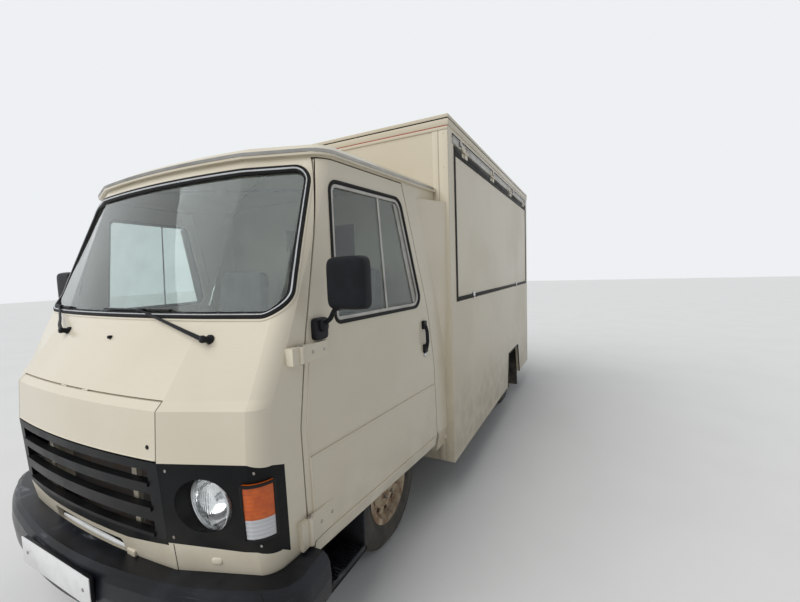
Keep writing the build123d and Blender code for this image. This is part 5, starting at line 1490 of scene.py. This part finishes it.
def step_ribs(bm):
    """Ribs across the tread against slipping."""
    first, run = STEP_FRONT + RIB_MARGIN, STEP_REAR - STEP_FRONT - 2 * RIB_MARGIN
    for k in range(RIBS):
        y = first + k * run / (RIBS - 1)
        slab(bm, (STEP_INNER + RIB_END, y - RIB_HALF, TREAD_TOP - 0.003),
             (STEP_OUTER - RIB_END, y + RIB_HALF, TREAD_TOP + RIB_HEIGHT), soft=0.0015)


for side_name, side in SIDES:
    bm = bmesh.new()
    slab(bm, (STEP_INNER, STEP_FRONT, STEP_FOOT), (STEP_OUTER, STEP_REAR, TREAD_TOP), soft=0.006, segments=3)
    for start, end, top in STEP_WALLS:
        slab(bm, (*start, STEP_FOOT + 0.002), (*end, top), soft=0.005, segments=3)
    step_ribs(bm)
    low = (BRACKET_INNER, BRACKET_Y[0], BRACKET_Z[0])
    slab(bm, low, (STEP_INNER + 0.014, BRACKET_Y[1], BRACKET_Z[1]), soft=0.002)
    slab(bm, low, (BRACKET_INNER + BRACKET_THICK, BRACKET_Y[1], BRACKET_TOP), soft=0.002)
    make_piece(f"entry_step_{side_name}", bm, "bumper_black", replaces=["steps"], side=side)

# %% [markdown]
# Trim of the serving body's front: two raised strips on each corner post, with a row of pop rivets up
# the outer one, and three raised bands across the top. On the real body they are folded sheet. Thin
# slabs read the same, because only their fronts and their shadows show.

# %% Corner posts and roof moulding
POST_STRIPS, POST_TOP = ((0.913, 0.950), (0.956, 1.0125)), 2.361
ROOF_BANDS = ((2.362, 2.381), (2.386, 2.424), (2.431, 2.4515))
MOULDING_BACK, MOULDING_OUT, LAP = 0.006, 0.005, 0.001
RIVETS, RIVET_X, RIVET_FOOT, RIVET_HEAD = 11, 0.985, BODY_FOOT + 0.08, 2.34
RIVET_PROFILE = [(-0.0005, 0.0045), (0.0006, 0.0042), (0.0016, 0.0026), (0.0018, 0.0)]
bm = bmesh.new()
for _, side in SIDES:
    for strip in POST_STRIPS:
        inner, outer = sorted(side * x for x in strip)
        slab(bm, (inner, BODY_FRONT - 0.004, BODY_FOOT + 0.002),
             (outer, BODY_FRONT + LAP, POST_TOP), soft=0.0015)
for low, high in ROOF_BANDS:
    slab(bm, (-BODY_SIDE, BODY_FRONT - MOULDING_BACK, low), (BODY_SIDE, BODY_FRONT + LAP, high), soft=0.002)
for _, side in SIDES:
    inner, outer = sorted((side * (BODY_SIDE - LAP), side * (BODY_SIDE + MOULDING_OUT)))
    for low, high in ROOF_BANDS[1:]:
        slab(bm, (inner, BODY_FRONT - MOULDING_BACK, low),
             (outer, BODY_REAR + MOULDING_OUT, high), soft=0.002)
slab(bm, (-BODY_SIDE, BODY_REAR - LAP, ROOF_BANDS[1][0]),
     (BODY_SIDE, BODY_REAR + MOULDING_OUT, ROOF_BANDS[2][1]), soft=0.002)
make_piece("roof_moulding", bm, "body_cream")
bm = bmesh.new()
for _, side in SIDES:
    for k in range(RIVETS):
        z = RIVET_FOOT + k * (RIVET_HEAD - RIVET_FOOT) / (RIVETS - 1)
        turned(bm, RIVET_PROFILE, (side * RIVET_X, BODY_FRONT - 0.004, z), (0, -1, 0), steps=12)
make_piece("post_rivets", bm, "body_cream")

# %% [markdown]
# A red pinstripe and a dark joint run in the two grooves between the bands. They could be lines in
# the paint, but they lie a little deeper than the bands, and that depth is what makes the edge of the
# roof look built up. So each is a slab of its own that fills its groove.

# %% Pinstripe and roof joint
PINSTRIPE_Z = (ROOF_BANDS[0][1], ROOF_BANDS[1][0])
JOINT_Z = (ROOF_BANDS[1][1], ROOF_BANDS[2][0])
JOINT_OUT = 0.003
bm = bmesh.new()
slab(bm, (-BODY_SIDE, BODY_FRONT - 0.0045, PINSTRIPE_Z[0]),
     (BODY_SIDE, BODY_FRONT + LAP, PINSTRIPE_Z[1]), soft=0.0008)
make_piece("roof_pinstripe", bm, "pinstripe_red")
bm = bmesh.new()
slab(bm, (-BODY_SIDE - 0.002, BODY_FRONT - 0.0035, JOINT_Z[0]),
     (BODY_SIDE + 0.002, BODY_FRONT + LAP, JOINT_Z[1]), soft=0.0008)
for _, side in SIDES:
    inner, outer = sorted((side * (BODY_SIDE - LAP), side * (BODY_SIDE + JOINT_OUT)))
    slab(bm, (inner, BODY_FRONT - JOINT_OUT, JOINT_Z[0]),
         (outer, BODY_REAR + JOINT_OUT, JOINT_Z[1]), soft=0.0008)
make_piece("roof_joint", bm, "seal_rubber")

# %% [markdown]
# The serving hatch is a flap nearly as long as the body, hung from four hinges. A black extrusion
# edges it at the front, the foot and the rear, and rubber covers the joint along its top between the
# hinges. Everything here is on the flap and rises with it. A strip on the left wall is always a slab
# between two lengths and two heights, so a small helper draws it.

# %% Hatch flap edging
flap_low, flap_high = box_of("hatch_flap")
FLAP_Y, FLAP_FOOT = (flap_low[1], flap_high[1]), flap_low[2]
FLAP_GAP = 0.006
HATCH_Y = (FLAP_Y[0] - FLAP_GAP, FLAP_Y[1] + FLAP_GAP)
EDGE_WIDTH, EDGE_TOP = 0.024, 2.234
TOP_EDGE_Z, COVER_Z = (2.236, 2.261), (2.262, 2.292)
HINGE_SHARES, HINGE_CLEAR = (0.08, 0.36, 0.64, 0.92), 0.062


def wall_strip(bm, lengths, heights, out, soft, back=LAP):
    """A strip on the serving body's left wall, standing out from it."""
    slab(bm, (BODY_SIDE - back, lengths[0], heights[0]), (BODY_SIDE + out, lengths[1], heights[1]), soft=soft)


bm = bmesh.new()
for y in (FLAP_Y[0], FLAP_Y[1] - EDGE_WIDTH):
    wall_strip(bm, (y, y + EDGE_WIDTH), (FLAP_FOOT, EDGE_TOP), out=0.005, soft=0.002)
wall_strip(bm, FLAP_Y, (FLAP_FOOT, FLAP_FOOT + EDGE_WIDTH), out=0.006, soft=0.002)
wall_strip(bm, FLAP_Y, TOP_EDGE_Z, out=0.004, soft=0.0015)
make_piece("flap_edging", bm, "seal_rubber", "hatch")
hinges = [HATCH_Y[0] + share * (HATCH_Y[1] - HATCH_Y[0]) for share in HINGE_SHARES]
hinge_edges = [edge for middle in hinges for edge in (middle - HINGE_CLEAR, middle + HINGE_CLEAR)]
cover_edges = [FLAP_Y[0], *hinge_edges, FLAP_Y[1]]
bm = bmesh.new()
for stretch in zip(cover_edges[::2], cover_edges[1::2]):
    wall_strip(bm, stretch, COVER_Z, out=0.005, soft=0.002)
make_piece("flap_cover_strip", bm, "seal_rubber", "hatch")

# %% [markdown]
# Above the flap an aluminium rail runs along the body, with a thin black strip over it that is a painted
# shadow line.
# The rail is on the wall and stays when the flap rises, so it is a piece of its own.
# Its lower part has the same breaks for the hinges as the cover strip, and its upper lip runs through.

# %% Hatch rail
RAIL_Z, RAIL_LIP_Z, RAIL_SHADOW_Z = (2.302, 2.341), (2.340, 2.349), (2.351, 2.362)
rail_y = (HATCH_Y[0] - 0.02, HATCH_Y[1] + 0.02)
rail_edges = [rail_y[0], *hinge_edges, rail_y[1]]
bm = bmesh.new()
wall_strip(bm, rail_y, RAIL_LIP_Z, out=0.006, soft=0.002)
for stretch in zip(rail_edges[::2], rail_edges[1::2]):
    wall_strip(bm, stretch, RAIL_Z, out=0.004, soft=0.0015)
make_piece("hatch_rail", bm, "dull_aluminium")
# The black strip above the rail's lip is a painted shadow line in the rubber finish.
bm = bmesh.new()
wall_strip(bm, rail_y, RAIL_SHADOW_Z, out=0.003, soft=0.001)
make_piece("hatch_rail_shadow_line", bm, "seal_rubber")

# %% [markdown]
# Four clips sit on the rail, and two catches with tongues hold the flap's foot when it is shut. Both
# are small pressings. They are slabs with soft edges that start a little outside the wall, because
# they sit on the rail and on the edging.

# %% Hatch clips and catches
CLIPS_FROM_AXLE, CLIP_HALF, CLIP_Z = (0.70, 1.60, 2.50, 3.30), 0.018, (2.318, 2.352)
CATCHES_FROM_AXLE, CATCH_HALF, CATCH_Z = (0.95, 2.663), 0.020, (1.322, 1.352)
TONGUE_HALF, TONGUE_Z = 0.007, (1.300, 1.345)
bm = bmesh.new()
for shift in CLIPS_FROM_AXLE:
    y = FRONT_AXLE + shift
    wall_strip(bm, (y - CLIP_HALF, y + CLIP_HALF), CLIP_Z, out=0.013, soft=0.003, back=-0.003)
make_piece("hatch_clips", bm, "screw_steel")
bm = bmesh.new()
for shift in CATCHES_FROM_AXLE:
    y = FRONT_AXLE + shift
    wall_strip(bm, (y - CATCH_HALF, y + CATCH_HALF), CATCH_Z, out=0.011, soft=0.003, back=-0.003)
    wall_strip(bm, (y - TONGUE_HALF, y + TONGUE_HALF), TONGUE_Z, out=0.013, soft=0.002, back=-0.008)
make_piece("hatch_catches", bm, "bright_trim", "hatch")

# %% [markdown]
# The wheel arch in each side wall is edged with a black lip of rubber. On a flat wall the arch is
# three straight runs, so the lip is one tube through its four corners, drawn on each wall in turn.

# %% Rear arch lips
# Columns: distance behind the front axle, height.
ARCH = [(2.168, 0.284), (2.232, 0.620), (2.750, 0.620), (2.845, 0.284)]
ARCH_RADIUS, ARCH_STAND = 0.006, 0.001
for side_name, side in SIDES:
    corners = [(side * (BODY_SIDE + ARCH_STAND), *corner) for corner in from_axle(ARCH)]
    bm = bmesh.new()
    tube(bm, stepped(corners, 8), ARCH_RADIUS)
    make_piece(f"arch_lip_{side_name}", bm, "seal_rubber")

# %% [markdown]
# The back of the truck isn't in the photograph, so it has only what such bodies carry. Each tail lamp
# is a black base with three lenses one above the other: clear for reversing, amber to turn and red
# for the brake. Three slabs in the three lens finishes make it, and they replace the CAD's block.

# %% Tail lamps
(LAMP_INNER, _, LAMP_FOOT), (LAMP_OUTER, _, LAMP_HEAD) = box_of("tail_lamps")
LAMP_PARTS = (("lens_white", 0.524, 0.590), ("lens_amber", 0.592, 0.668), ("lens_red", 0.670, 0.756))
BASE_OUT, LENS_BACK, LENS_OUT, LENS_INSET = 0.010, 0.009, 0.0235, 0.004
for side_name, side in SIDES:
    inner, outer = sorted((side * LAMP_INNER, side * LAMP_OUTER))
    bm = bmesh.new()
    slab(bm, (inner, BODY_REAR, LAMP_FOOT), (outer, BODY_REAR + BASE_OUT, LAMP_HEAD), soft=0.003)
    make_piece(f"tail_lamp_base_{side_name}", bm, "fitting_black", replaces=["tail_lamps"])
    for look, foot, head in LAMP_PARTS:
        bm = bmesh.new()
        slab(bm, (inner + LENS_INSET, BODY_REAR + LENS_BACK, foot),
             (outer - LENS_INSET, BODY_REAR + LENS_OUT, head), soft=0.005, segments=3)
        make_piece(f"tail_{look}_{side_name}", bm, look, replaces=["tail_lamps"])

# %% [markdown]
# The rear door needs a dark seal in its gap and a handle that says which edge opens. The seal is four
# thin tubes on the door's edges, measured on the CAD door. The handle is a plate with a bent lever.
# Both swing with the door.

# %% Rear door seal and handle
door_low, door_high = box_of("rear_door")
DOOR_HALF, DOOR_FOOT, DOOR_HEAD = door_high[0], door_low[2], door_high[2]
DOOR_CORNERS = [(-DOOR_HALF, DOOR_FOOT), (-DOOR_HALF, DOOR_HEAD), (DOOR_HALF, DOOR_HEAD),
                (DOOR_HALF, DOOR_FOOT)]
SEAL_DEPTH, SEAL_RADIUS = 0.010, 0.0025
HANDLE_PLATE = ((0.300, -0.001, 1.180), (0.336, 0.008, 1.330))
# Columns of the plate and the lever: across the truck, out from the rear wall, height.
LEVER_PATH = [(0.318, 0.006, 1.290), (0.318, 0.026, 1.290), (0.300, 0.028, 1.290), (0.225, 0.026, 1.286)]


def on_rear(points):
    """Points given out from the rear wall, put in the truck's frame."""
    return [(x, BODY_REAR + out, z) for x, out, z in points]


bm = bmesh.new()
for start, end in zip(DOOR_CORNERS, DOOR_CORNERS[1:] + DOOR_CORNERS[:1]):
    tube(bm, on_rear([(x, -SEAL_DEPTH, z) for x, z in (start, end)]), SEAL_RADIUS, sides=6)
make_piece("rear_door_seal", bm, "seal_rubber", "rear_door")
bm = bmesh.new()
slab(bm, *on_rear(HANDLE_PLATE), 0.004, 3)
tube(bm, on_rear(LEVER_PATH), 0.007, sides=10)
make_piece("rear_door_handle", bm, "bright_trim", "rear_door")

# %% [markdown]
# The beam under the rear is bolted to the frame with four bolts. They are turned like the wheel nuts,
# in six steps for the hexagon.

# %% Tow bar bolts
BOLT_PROFILE = [(-0.001, 0.012), (0.002, 0.012), (0.002, 0.0085), (0.010, 0.0085), (0.011, 0.007)]
BOLTS_X, BOLT_OUT, BOLT_HEIGHT = (-0.7, -0.3, 0.3, 0.7), 0.032, 0.375
bm = bmesh.new()
for at in on_rear([(x, BOLT_OUT, BOLT_HEIGHT) for x in BOLTS_X]):
    turned(bm, BOLT_PROFILE, at, (0, 1, 0), steps=6)
make_piece("tow_bar_bolts", bm, "screw_steel")

# %% [markdown]
# Each seat is a crowned cushion and a backrest with sewn channels, on a plain plinth. A cloth
# simulation could swell the cushions, but they are seen only through the glass. A pillow gives the
# crown, and each channel is pressed into its face as a narrow valley with a bell-shaped section.

# %% Seats
SEAT_X = centre_of("seats")[0]
CUSHION_MIDDLE, CUSHION_HALF = Vector((0, FRONT_AXLE - 0.040, 0.966)), (0.210, 0.216, 0.046)
BACK_MIDDLE, BACK_HALF = Vector((0, FRONT_AXLE + 0.150, 1.285)), (0.210, 0.046, 0.270)
BACK_LEAN = Matrix.Rotation(math.radians(-9.3), 3, "X")
SEAT_SQUARE, SEAT_STEPS, SEAT_FILL = 0.30, (160, 40), 0.7
CHANNELS, CHANNEL_DEPTH, CHANNEL_WIDTH = (-0.09, 0.0, 0.09), 0.007, 0.006
PLINTH_HALF, PLINTH_Y, PLINTH_Z = 0.185, (FRONT_AXLE - 0.230, FRONT_AXLE + 0.150), (0.691, 0.924)


def sewn(axis, face):
    """Presses the channels into the face of a cushion: axis and face say which way it looks."""
    def shape(point):
        if point[axis] * face <= 0:
            return point
        sink = sum(math.exp(-((point.x - channel) / CHANNEL_WIDTH) ** 2) for channel in CHANNELS)
        moved = point.copy()
        moved[axis] -= face * CHANNEL_DEPTH * sink
        return moved
    return shape


for side_name, side in SIDES:
    shift = Vector((side * SEAT_X, 0, 0))
    bm = bmesh.new()
    pillow(bm, CUSHION_MIDDLE + shift, CUSHION_HALF, square=SEAT_SQUARE, steps=SEAT_STEPS, shape=sewn(2, 1))
    cushion = make_piece(f"seat_cushion_{side_name}", bm, "seat_weave", replaces=["seats"], sharp=80)
    bm = bmesh.new()
    pillow(bm, BACK_MIDDLE + shift, BACK_HALF, square=SEAT_SQUARE, steps=SEAT_STEPS, shape=sewn(1, -1),
           turn=BACK_LEAN)
    backrest = make_piece(f"seat_back_{side_name}", bm, "seat_weave", replaces=["seats"], sharp=80)
    bm = bmesh.new()
    left, right = sorted((side * (SEAT_X - PLINTH_HALF), side * (SEAT_X + PLINTH_HALF)))
    slab(bm, (left, PLINTH_Y[0], PLINTH_Z[0]), (right, PLINTH_Y[1], PLINTH_Z[1]), soft=0.012, segments=3)
    make_piece(f"seat_plinth_{side_name}", bm, "dash_vinyl", replaces=["seats"])

# %% [markdown]
# The steering wheel replaces the six-sided CAD one: a round rim, three spokes that dip to the hub,
# and a padded boss. It leans with its column, so it is drawn from the column's axis and two
# directions square to it, and not from the truck's own axes.

# %% Steering wheel
WHEEL_CENTRE = Vector(centre_of("steering_wheel", side=-1))
COLUMN_LEAN = math.radians(38)
COLUMN_AXIS = Vector((0, math.cos(COLUMN_LEAN), math.sin(COLUMN_LEAN)))
GRIP_CIRCLE, GRIP_RADIUS = 0.205, 0.0125
BOSS_PROFILE = [(-0.040, 0.034), (-0.030, 0.040), (-0.006, 0.042), (0.002, 0.036), (0.005, 0.020),
                (0.0055, 0.0)]
SPOKE_ANGLES = [math.radians(angle) for angle in (90, 210, 330)]
# Columns: distance below the rim's plane, distance from the axis.
SPOKE_PATH = [(0.012, 0.030), (0.010, 0.110), (0.002, 0.200)]


def spoke_radius(share):
    """A spoke is stoutest at the hub."""
    return 0.014 - 0.004 * share


bm = bmesh.new()
grip = [(GRIP_RADIUS * math.sin(turn), GRIP_CIRCLE + GRIP_RADIUS * math.cos(turn)) for turn in full_turn(12)]
turned(bm, grip, WHEEL_CENTRE, COLUMN_AXIS, steps=72, closed=True)
turned(bm, BOSS_PROFILE, WHEEL_CENTRE, COLUMN_AXIS, steps=36)
across = Vector((1, 0, 0))
upward = COLUMN_AXIS.cross(across)
for angle in SPOKE_ANGLES:
    out = math.cos(angle) * across + math.sin(angle) * upward
    spoke = [WHEEL_CENTRE - COLUMN_AXIS * sink + out * reach for sink, reach in SPOKE_PATH]
    tube(bm, spoke, spoke_radius, sides=10, flat=0.5)
make_piece("steering_rim", bm, "dash_vinyl", "steering_wheel", ["steering_wheel"])

# %% [markdown]
# The dashboard gets an instrument hood with two dials in it, and a gear lever stands on the floor in
# a rubber boot. They show only as shapes behind the glass, so the hood is one pillow, the dials are
# turned rims, and the lever is a tube with a knob.

# %% Instruments and gear lever
HOOD_AT, HOOD_HALF = Vector((WHEEL_CENTRE.x, FRONT_AXLE - 0.735, 1.330)), (0.165, 0.060, 0.052)
DIALS_X, DIAL_Y, DIAL_HEIGHT, DIAL_FACING = (-0.500, -0.360), FRONT_AXLE - 0.684, 1.332, (0, 0.96, 0.28)
DIAL_PROFILE = [(0.0, 0.048), (0.010, 0.048), (0.012, 0.046), (0.012, 0.043), (0.006, 0.041), (0.006, 0.0)]
LEVER_FOOT, LEVER_REACH = Vector((0.10, FRONT_AXLE - 0.45, 0.898)), Vector((-0.04, 0.07, 0.25))
LEVER_RADIUS, LEVER_BEND, KNOB_HALF = 0.007, Vector((0, -0.01, 0)), (0.022, 0.022, 0.026)
BOOT_PROFILE = [(0.0, 0.060), (0.006, 0.058), (0.030, 0.030), (0.045, 0.014)]
bm = bmesh.new()
pillow(bm, HOOD_AT, HOOD_HALF, square=0.45, steps=(48, 20))
make_piece("instrument_hood", bm, "dash_vinyl")
bm = bmesh.new()
for x in DIALS_X:
    turned(bm, DIAL_PROFILE, (x, DIAL_Y, DIAL_HEIGHT), DIAL_FACING, steps=36)
make_piece("dial_rims", bm, "fitting_black")
bm = bmesh.new()
knob_at = LEVER_FOOT + LEVER_REACH
tube(bm, [LEVER_FOOT, LEVER_FOOT.lerp(knob_at, 0.5) + LEVER_BEND, knob_at], LEVER_RADIUS, sides=10)
pillow(bm, knob_at, KNOB_HALF, square=0.8, steps=(24, 14))
turned(bm, BOOT_PROFILE, LEVER_FOOT, (0, 0, 1), steps=28)
make_piece("gear_lever", bm, "dash_vinyl")

# %% [markdown]
# The truck stands on a plain studio floor.

# %% Studio floor
FLOOR_HALF = 40
opaque("studio_grey", "floor_paint", (0.72, 0.72, 0.71), patch=(0.69, 0.69, 0.68), patch_scale=1.5,
       cover=0.5, rough=(0.85, 0.9), grain=(90.0, 0.0002))
floor_mesh = bpy.data.meshes.new("studio_floor")
floor_corners = [(x * FLOOR_HALF, y * FLOOR_HALF, 0) for x, y in ((-1, -1), (1, -1), (1, 1), (-1, 1))]
floor_mesh.from_pydata(floor_corners, [], [(0, 1, 2, 3)])
floor_mesh.materials.append(looks["studio_grey"][0])
studio_floor = bpy.data.objects.new("studio_floor", floor_mesh)
bpy.context.scene.collection.objects.link(studio_floor)
print("floor", 2 * FLOOR_HALF, "metres square")

# %% [markdown]
# The main light is a very broad sun from ahead and to the truck's right. It lights the nose and
# leaves the hatch side in soft shade, as in the photograph. Area lamps would do too, but a sun is
# equally strong over the truck's whole length. Its disc is wide, so that its shadows are soft. Gloss
# doesn't see it, or it would show in the windscreen as a white shape.

# %% Sun
SUN_STRENGTH = 2.6
SUN_WIDTH = math.radians(64)
SUN_RUN = Vector((0.55, 1.0, -1.25))
sun = bpy.data.lights.new("sun", "SUN")
sun.energy = SUN_STRENGTH
sun.angle = SUN_WIDTH
lamp = bpy.data.objects.new("sun", sun)
lamp.visible_glossy = False
lamp.rotation_euler = SUN_RUN.to_track_quat("-Z", "Y").to_euler()
bpy.context.scene.collection.objects.link(lamp)
print("sun strength", sun.energy)

# %% [markdown]
# An even sky fills the shade. One world could serve as both light and backdrop, but a sky that is dim
# enough to light softly would look grey behind the truck and in its glass. So the light path picks:
# what the camera, gloss and glass see is pale, and what lights the truck is the dimmer sky.

# %% Sky
SKY_COLOR, SKY_STRENGTH = (0.92, 0.96, 1.0, 1), 0.38
BACKDROP_COLOR, BACKDROP_STRENGTH = (0.90, 0.92, 0.94, 1), 0.95


def make_world():
    """Even sky light, with a pale backdrop for the camera, gloss and glass."""
    world = bpy.data.worlds.new("studio")
    world.use_nodes = True
    tree = world.node_tree
    tree.nodes.clear()
    rays = add_node(tree, "LightPath").outputs
    seen = rays["Is Camera Ray"]
    for kind in ("Is Glossy Ray", "Is Transmission Ray"):
        seen = add_node(tree, "Math", {0: seen, 1: rays[kind]}, operation="MAXIMUM").outputs[0]
    sky = add_node(tree, "Background", {"Color": SKY_COLOR, "Strength": SKY_STRENGTH})
    backdrop = add_node(tree, "Background", {"Color": BACKDROP_COLOR, "Strength": BACKDROP_STRENGTH})
    mix = add_node(tree, "MixShader", {0: seen, 1: sky.outputs[0], 2: backdrop.outputs[0]})
    out = tree.nodes.new("ShaderNodeOutputWorld")
    tree.links.new(mix.outputs[0], out.inputs["Surface"])
    bpy.context.scene.world = world


make_world()
bpy.context.scene.view_settings.view_transform = "Standard"
print("world", bpy.context.scene.world.name)

# %% [markdown]
# The number of added pieces and of their triangles is printed.

# %% Count the added pieces
triangles = sum(len(polygon.vertices) - 2 for made in pieces for polygon in made.data.polygons)
print("pieces", len(pieces), "triangles", triangles)
